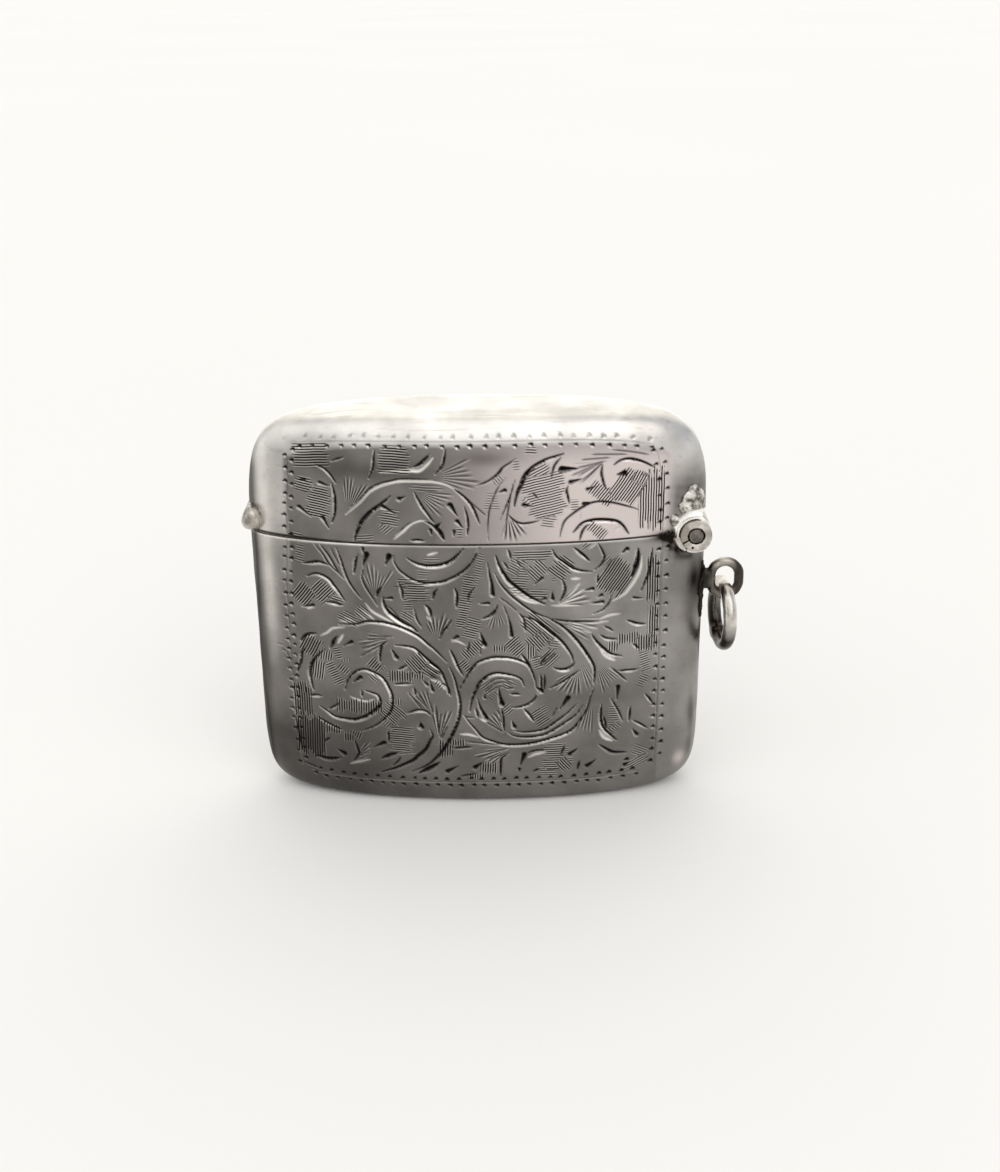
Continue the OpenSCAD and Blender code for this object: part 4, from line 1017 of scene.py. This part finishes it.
def addHinge():
    front, inner = hinge["front"], hinge["inner"]
    for word, y0, y1 in (("Front", -front, -inner), ("Rear", inner, front)):
        bm = bmesh.new()
        tube = roundedBox(hinge["bore"], hinge["outer"], y0, y1, hinge["edge"])
        spun(bm, tube, hinge["slitAt"] + hinge["slit"] / 2, 360 - hinge["slit"], 72)
        roughen(bm, 0.05, 0.8)
        roughen(bm, 0.03, 0.3)
        mesh = finishMesh(bm, "knuckle" + word)
        addPiece(mesh, "case", "hinge_silver", "knuckle_" + word.lower(), "solderedTubeSilver")
    bm = bmesh.new()
    r, end = hinge["pin"], hinge["pinEnd"]
    pin = [(0, -end - 0.02), (0.35, -end - 0.01), (r - 0.06, -end), (r, -end + 0.07)]
    spun(bm, pin + [(r, -y) for r, y in reversed(pin)], 0, 360, 40)
    addPiece(finishMesh(bm, "hingePin"), "case", "pin_steel", "hinge_pin", "filedPinMetal")
    # hood of the lid with the solder that ran out above it
    bm = bmesh.new()
    section = list(hinge["hoodEnd"]) + [(hinge["hoodTop"], y) for y in (-2, -1, 0, 1, 2)]
    section += [(r, -y) for r, y in reversed(hinge["hoodEnd"])]
    spun(bm, section, hinge["hoodStart"], hinge["hoodSweep"], 44)
    centre = Vector((case["hingeX"], 0, case["hingeZ"])) * mm
    under = hinge["hoodUnder"] * mm
    thinning, start, end = hinge["hoodThin"]
    for v in bm.verts:
        reach = Vector((v.co.x - centre.x, 0, v.co.z - centre.z))
        turn = math.degrees(math.atan2(reach.z, reach.x)) % 360
        thin = min(1, max(0, (turn - start) / (end - start)))
        if reach.length > under:
            v.co -= reach.normalized() * (reach.length - under) * thinning * thin
    roughen(bm, 0.06, 1.1, [v for v in bm.verts if (v.co - centre).xz.length > under])
    addLumps(bm, hinge["solder"])
    mesh = finishMesh(bm, "hingeHood", hinge["hoodSharpAt"])
    addPiece(mesh, "lid", "hinge_silver", "hinge_hood", "rubbedHoodSilver", "ranSolder")


# Thumb piece: a cast bead at the lid's free end
thumb = {"x": -21.95, "z": 29.95, "front": -1.75, "radius": 1.05, "narrow": 0.22, "tall": 1.2, "rough": 0.06}


def addThumb():
    bm = bmesh.new()
    bead = bmesh.ops.create_uvsphere(bm, u_segments=40, v_segments=24, radius=thumb["radius"] * mm)["verts"]
    for v in bead:
        v.co.y += (thumb["front"] if v.co.y < 0 else -thumb["front"]) * mm
        v.co.x *= 1 - thumb["narrow"] * v.co.z / (thumb["radius"] * mm)
        v.co.z *= thumb["tall"]
    bmesh.ops.translate(bm, vec=Vector((thumb["x"], 0, thumb["z"])) * mm, verts=bead)
    roughen(bm, thumb["rough"], 0.9)
    addPiece(finishMesh(bm, "thumbPiece"), "lid", "hinge_silver", "thumb_piece", "castBeadSilver")


def wire(bm, path, radii, normal, closed):
    # round wire along a plane path, ring by ring
    count, sides = len(path), 24
    rings = []
    for k, at in enumerate(path):
        ahead = path[(k + 1) % count] if closed or k < count - 1 else at
        behind = path[k - 1] if closed or k > 0 else at
        across = (ahead - behind).normalized().cross(normal)
        turns = [2 * math.pi * t / sides for t in range(sides)]
        outs = [math.cos(t) * across + math.sin(t) * normal for t in turns]
        ring = [bm.verts.new((at + radii[k] * out) * mm) for out in outs]
        rings.append([bm.edges.new((ring[t], ring[t - 1])) for t in range(sides)])
    for k in range(count if closed else count - 1):
        bmesh.ops.bridge_loops(bm, edges=rings[k] + rings[(k + 1) % count])


# Loop and hanging ring of drawn wire, both worn where they rub; the ring's soldered joint shows as a lump
loopWire = {
    "x": 24.7, "top": 22.85, "stretch": 0.7, "bend": 1.4, "wire": 0.47, "steps": 64,
    "foot": 0.72, "footZ": 22.5, "wall": 22.1, "fillet": 1.9, "flare": 0.45, "waist": 0.25, "footSteps": 6,
    # dark lumps on the wall: x, height, how proud, wide and tall
    "darkLumps": ((22.38, 23.3, 0.14, 0.5, 1.3), (22.3, 21.8, 0.16, 0.7, 1.2), (22.3, 20.1, 0.1, 0.5, 1.5)),
}
ringWire = {
    "x": 24.6, "top": 21.86, "bend": 3.14, "wire": 0.68, "turn": 7.0, "steps": 120,
    # depth of the wear at the top and height of the joint's lump, with their place and half size in degrees
    "worn": (0.1, 90, 18), "lump": (0.22, 300, 9),
}


def addLoop():
    x, bend, wall, footZ = (loopWire[k] for k in ("x", "bend", "wall", "footZ"))
    flat = Vector((0, 1, 0))
    path = []
    for k in range(loopWire["steps"]):
        t = 2 * math.pi * k / loopWire["steps"]
        drop = 0 if math.sin(t) >= 0 else loopWire["stretch"]
        path.append(Vector((x + bend * math.cos(t), 0, loopWire["top"] - drop + bend * math.sin(t))))
    bm = bmesh.new()
    wire(bm, path, [loopWire["wire"]] * len(path), flat, True)
    parts = [k / loopWire["footSteps"] for k in range(loopWire["footSteps"] + 1)]
    stalk = [Vector((wall + (x - bend - wall) * s, 0, footZ)) for s in parts]
    swells = [1 + loopWire["flare"] * (1 - s) ** 3 - loopWire["waist"] * math.sin(math.pi * s) for s in parts]
    before = set(bm.verts)
    wire(bm, stalk, [loopWire["foot"] * s for s in swells], flat, False)
    for v in set(bm.verts) - before:
        v.co.z += (v.co.z - footZ * mm) * (loopWire["fillet"] - 1)
    roughen(bm, 0.05, 0.7)
    addLumps(bm, loopWire["darkLumps"])
    mesh = finishMesh(bm, "chainLoop")
    addPiece(mesh, "case", "wire_silver", "chain_loop", "tarnishedAndShadedLoopSilver", "darkWallLumps")


def addRing():
    turn = math.radians(ringWire["turn"])
    up = Vector((0, 0, 1))
    along = Vector((-math.sin(turn), math.cos(turn), 0))
    normal = along.cross(up)
    centre = Vector((ringWire["x"], 0, ringWire["top"] - ringWire["bend"]))
    path, radii = [], []
    for k in range(ringWire["steps"]):
        t = 2 * math.pi * k / ringWire["steps"]
        path.append(centre + ringWire["bend"] * (math.cos(t) * along + math.sin(t) * up))
        radius = ringWire["wire"]
        for sign, (most, middle, half) in ((-1, ringWire["worn"]), (1, ringWire["lump"])):
            away = (math.degrees(t) - middle + 180) % 360 - 180
            radius += sign * most * math.exp(-(away / half) ** 2)
        radii.append(radius)
    bm = bmesh.new()
    wire(bm, path, radii, normal, True)
    roughen(bm, 0.04, 0.9)
    # the joint is filed flat on the side towards the case, so the ring clears the wall
    for v in bm.verts:
        proud = -ringWire["wire"] - (v.co / mm - centre).dot(normal)
        if proud > 0:
            v.co += normal * proud * mm
    addPiece(finishMesh(bm, "chainRing"), "ring", "wire_silver", "chain_ring", "drawnWireSilver")


# Inner rim of the mouth, a bent strip that stops short of the hinge
bezelRim = {
    "fit": 0.63, "lead": 0.72, "inner": 1.17, "low": 25.8, "step": 27.9, "high": 30.2, "end": 18.6,
    "steps": 120, "sharpAt": 35,
}


def addBezel():
    fit, lead, inner, low, step, high = (bezelRim[k] for k in ("fit", "lead", "inner", "low", "step", "high"))
    section = (
        (low, fit), (step, fit), (step + 0.06, lead), (high - 0.12, lead), (high - 0.03, lead + 0.04),
        (high, lead + 0.13), (high, inner - 0.1), (high - 0.1, inner), (low + 0.05, inner),
        (low, inner - 0.05))
    bm = bmesh.new()
    strips = []
    for k in range(bezelRim["steps"] + 1):
        ring = []
        for rx, ry, z in (level(*row) for row in section):
            start = math.acos(bezelRim["end"] / rx)
            a = start + (2 * math.pi - 2 * start) * k / bezelRim["steps"]
            ring.append(bm.verts.new(Vector((rx * math.cos(a), ry * math.sin(a), z)) * mm))
        strips.append([bm.edges.new((ring[t], ring[t - 1])) for t in range(len(ring))])
    for k in range(bezelRim["steps"]):
        bmesh.ops.bridge_loops(bm, edges=strips[k] + strips[k + 1])
    mesh = finishMesh(bm, "mouthBezel", bezelRim["sharpAt"])
    addPiece(mesh, "case", "inner_silver", "mouth_bezel", "dullSilverLining")


addHinge()
addThumb()
addLoop()
addRing()
addBezel()
print("small pieces made")

# Pieces kept from the CAD model
kept = {
    "striker_plate": "serratedStrikerSilver", "hinge_trough": "solderedTubeSilver",
    "knuckle_lid": "solderedTubeSilver",
}
for name, finish in kept.items():
    nodes[name].data.materials.clear()
    nodes[name].data.materials.append(metals[finish])

# Plain pale floor and soft studio light
studio = {
    "floor": "#F4F3F1", "floorDull": "#EEEDEA", "floorPatchMm": 400, "floorRough": 0.9, "floorSize": 40.0,
    "ambient": 0.27,
    # pale skyline all round: the height where it starts, where it is full, and its strength
    "skyline": (0.30, 0.05, 0.6),
    # soft lights of the world: direction, inner and outer half angle in degrees, strength, colour
    "glow": (
        ((0.05, 0.85, 0.50), 18, 62, 0.95, "#FFFDF7"),
        ((0.0, -0.64, 0.77), 12, 58, 1.03, "#FFFFFF"),
        ((0.0, 0.25, 0.97), 6, 38, 0.35, "#FFFDF7"),
        ((0.50, -0.62, 0.60), 8, 32, 0.65, "#FFF8F4"),
        ((-0.90, -0.05, 0.42), 8, 42, 0.8, "#FFFFFF"),
        ((0.93, 0.10, 0.35), 8, 40, 0.38, "#E4EDFF"),
    ),
}


def addStudio():
    scene = bpy.context.scene
    scene.view_settings.view_transform = "Standard"
    bm = bmesh.new()
    bmesh.ops.create_grid(bm, x_segments=8, y_segments=8, size=studio["floorSize"] / 2)
    mesh = bpy.data.meshes.new("floor")
    bm.to_mesh(mesh)
    bm.free()
    # matt white card, very slightly uneven
    paper, tree, shader, place = newMaterial("mattWhiteCard")
    cloud = addNode(tree, "TexNoise", {"Vector": place, "Scale": 1000 / studio["floorPatchMm"]}, "Fac")
    ends = {6: toLinear(studio["floorDull"]), 7: toLinear(studio["floor"])}
    card = addNode(tree, "Mix", {0: cloud, **ends}, 2, data_type="RGBA")
    tree.links.new(card, shader.inputs["Base Color"])
    shader.inputs["Roughness"].default_value = studio["floorRough"]
    mesh.materials.append(paper)
    floor = bpy.data.objects.new("floor", mesh)
    scene.collection.objects.link(floor)
    world = bpy.data.worlds.new("studio")
    world.use_nodes = True
    scene.world = world
    tree = world.node_tree
    view = addNode(tree, "TexCoord", out="Generated")
    total = addNode(tree, "RGB")
    total.default_value = (studio["ambient"],) * 3 + (1,)
    # the floor runs into the skyline in the low views
    height = addNode(tree, "SeparateXYZ", {0: view}, "Z")
    top, full, pale = studio["skyline"]
    fall = {"Value": height, "From Min": top, "From Max": full, "To Max": pale}
    lights = [addNode(tree, "MapRange", fall, interpolation_type="SMOOTHSTEP")]
    for aim, inner, outer, strength, colour in studio["glow"]:
        ends = {0: view, 1: Vector(aim).normalized()}
        near = addNode(tree, "VectorMath", ends, "Value", operation="DOT_PRODUCT")
        edge, core = math.cos(math.radians(outer)), math.cos(math.radians(inner))
        fall = {"Value": near, "From Min": edge, "From Max": core, "To Max": strength}
        soft = addNode(tree, "MapRange", fall, interpolation_type="SMOOTHSTEP")
        tint = {0: 1.0, 6: toLinear(colour), 7: soft}
        lights.append(addNode(tree, "Mix", tint, 2, data_type="RGBA", blend_type="MULTIPLY"))
    for light in lights:
        total = addNode(tree, "Mix", {0: 1.0, 6: total, 7: light}, 2, data_type="RGBA", blend_type="ADD")
    background = tree.nodes["Background"]
    tree.links.new(total, background.inputs["Color"])
    background.inputs["Strength"].default_value = 1.0


addStudio()
print("studio set")
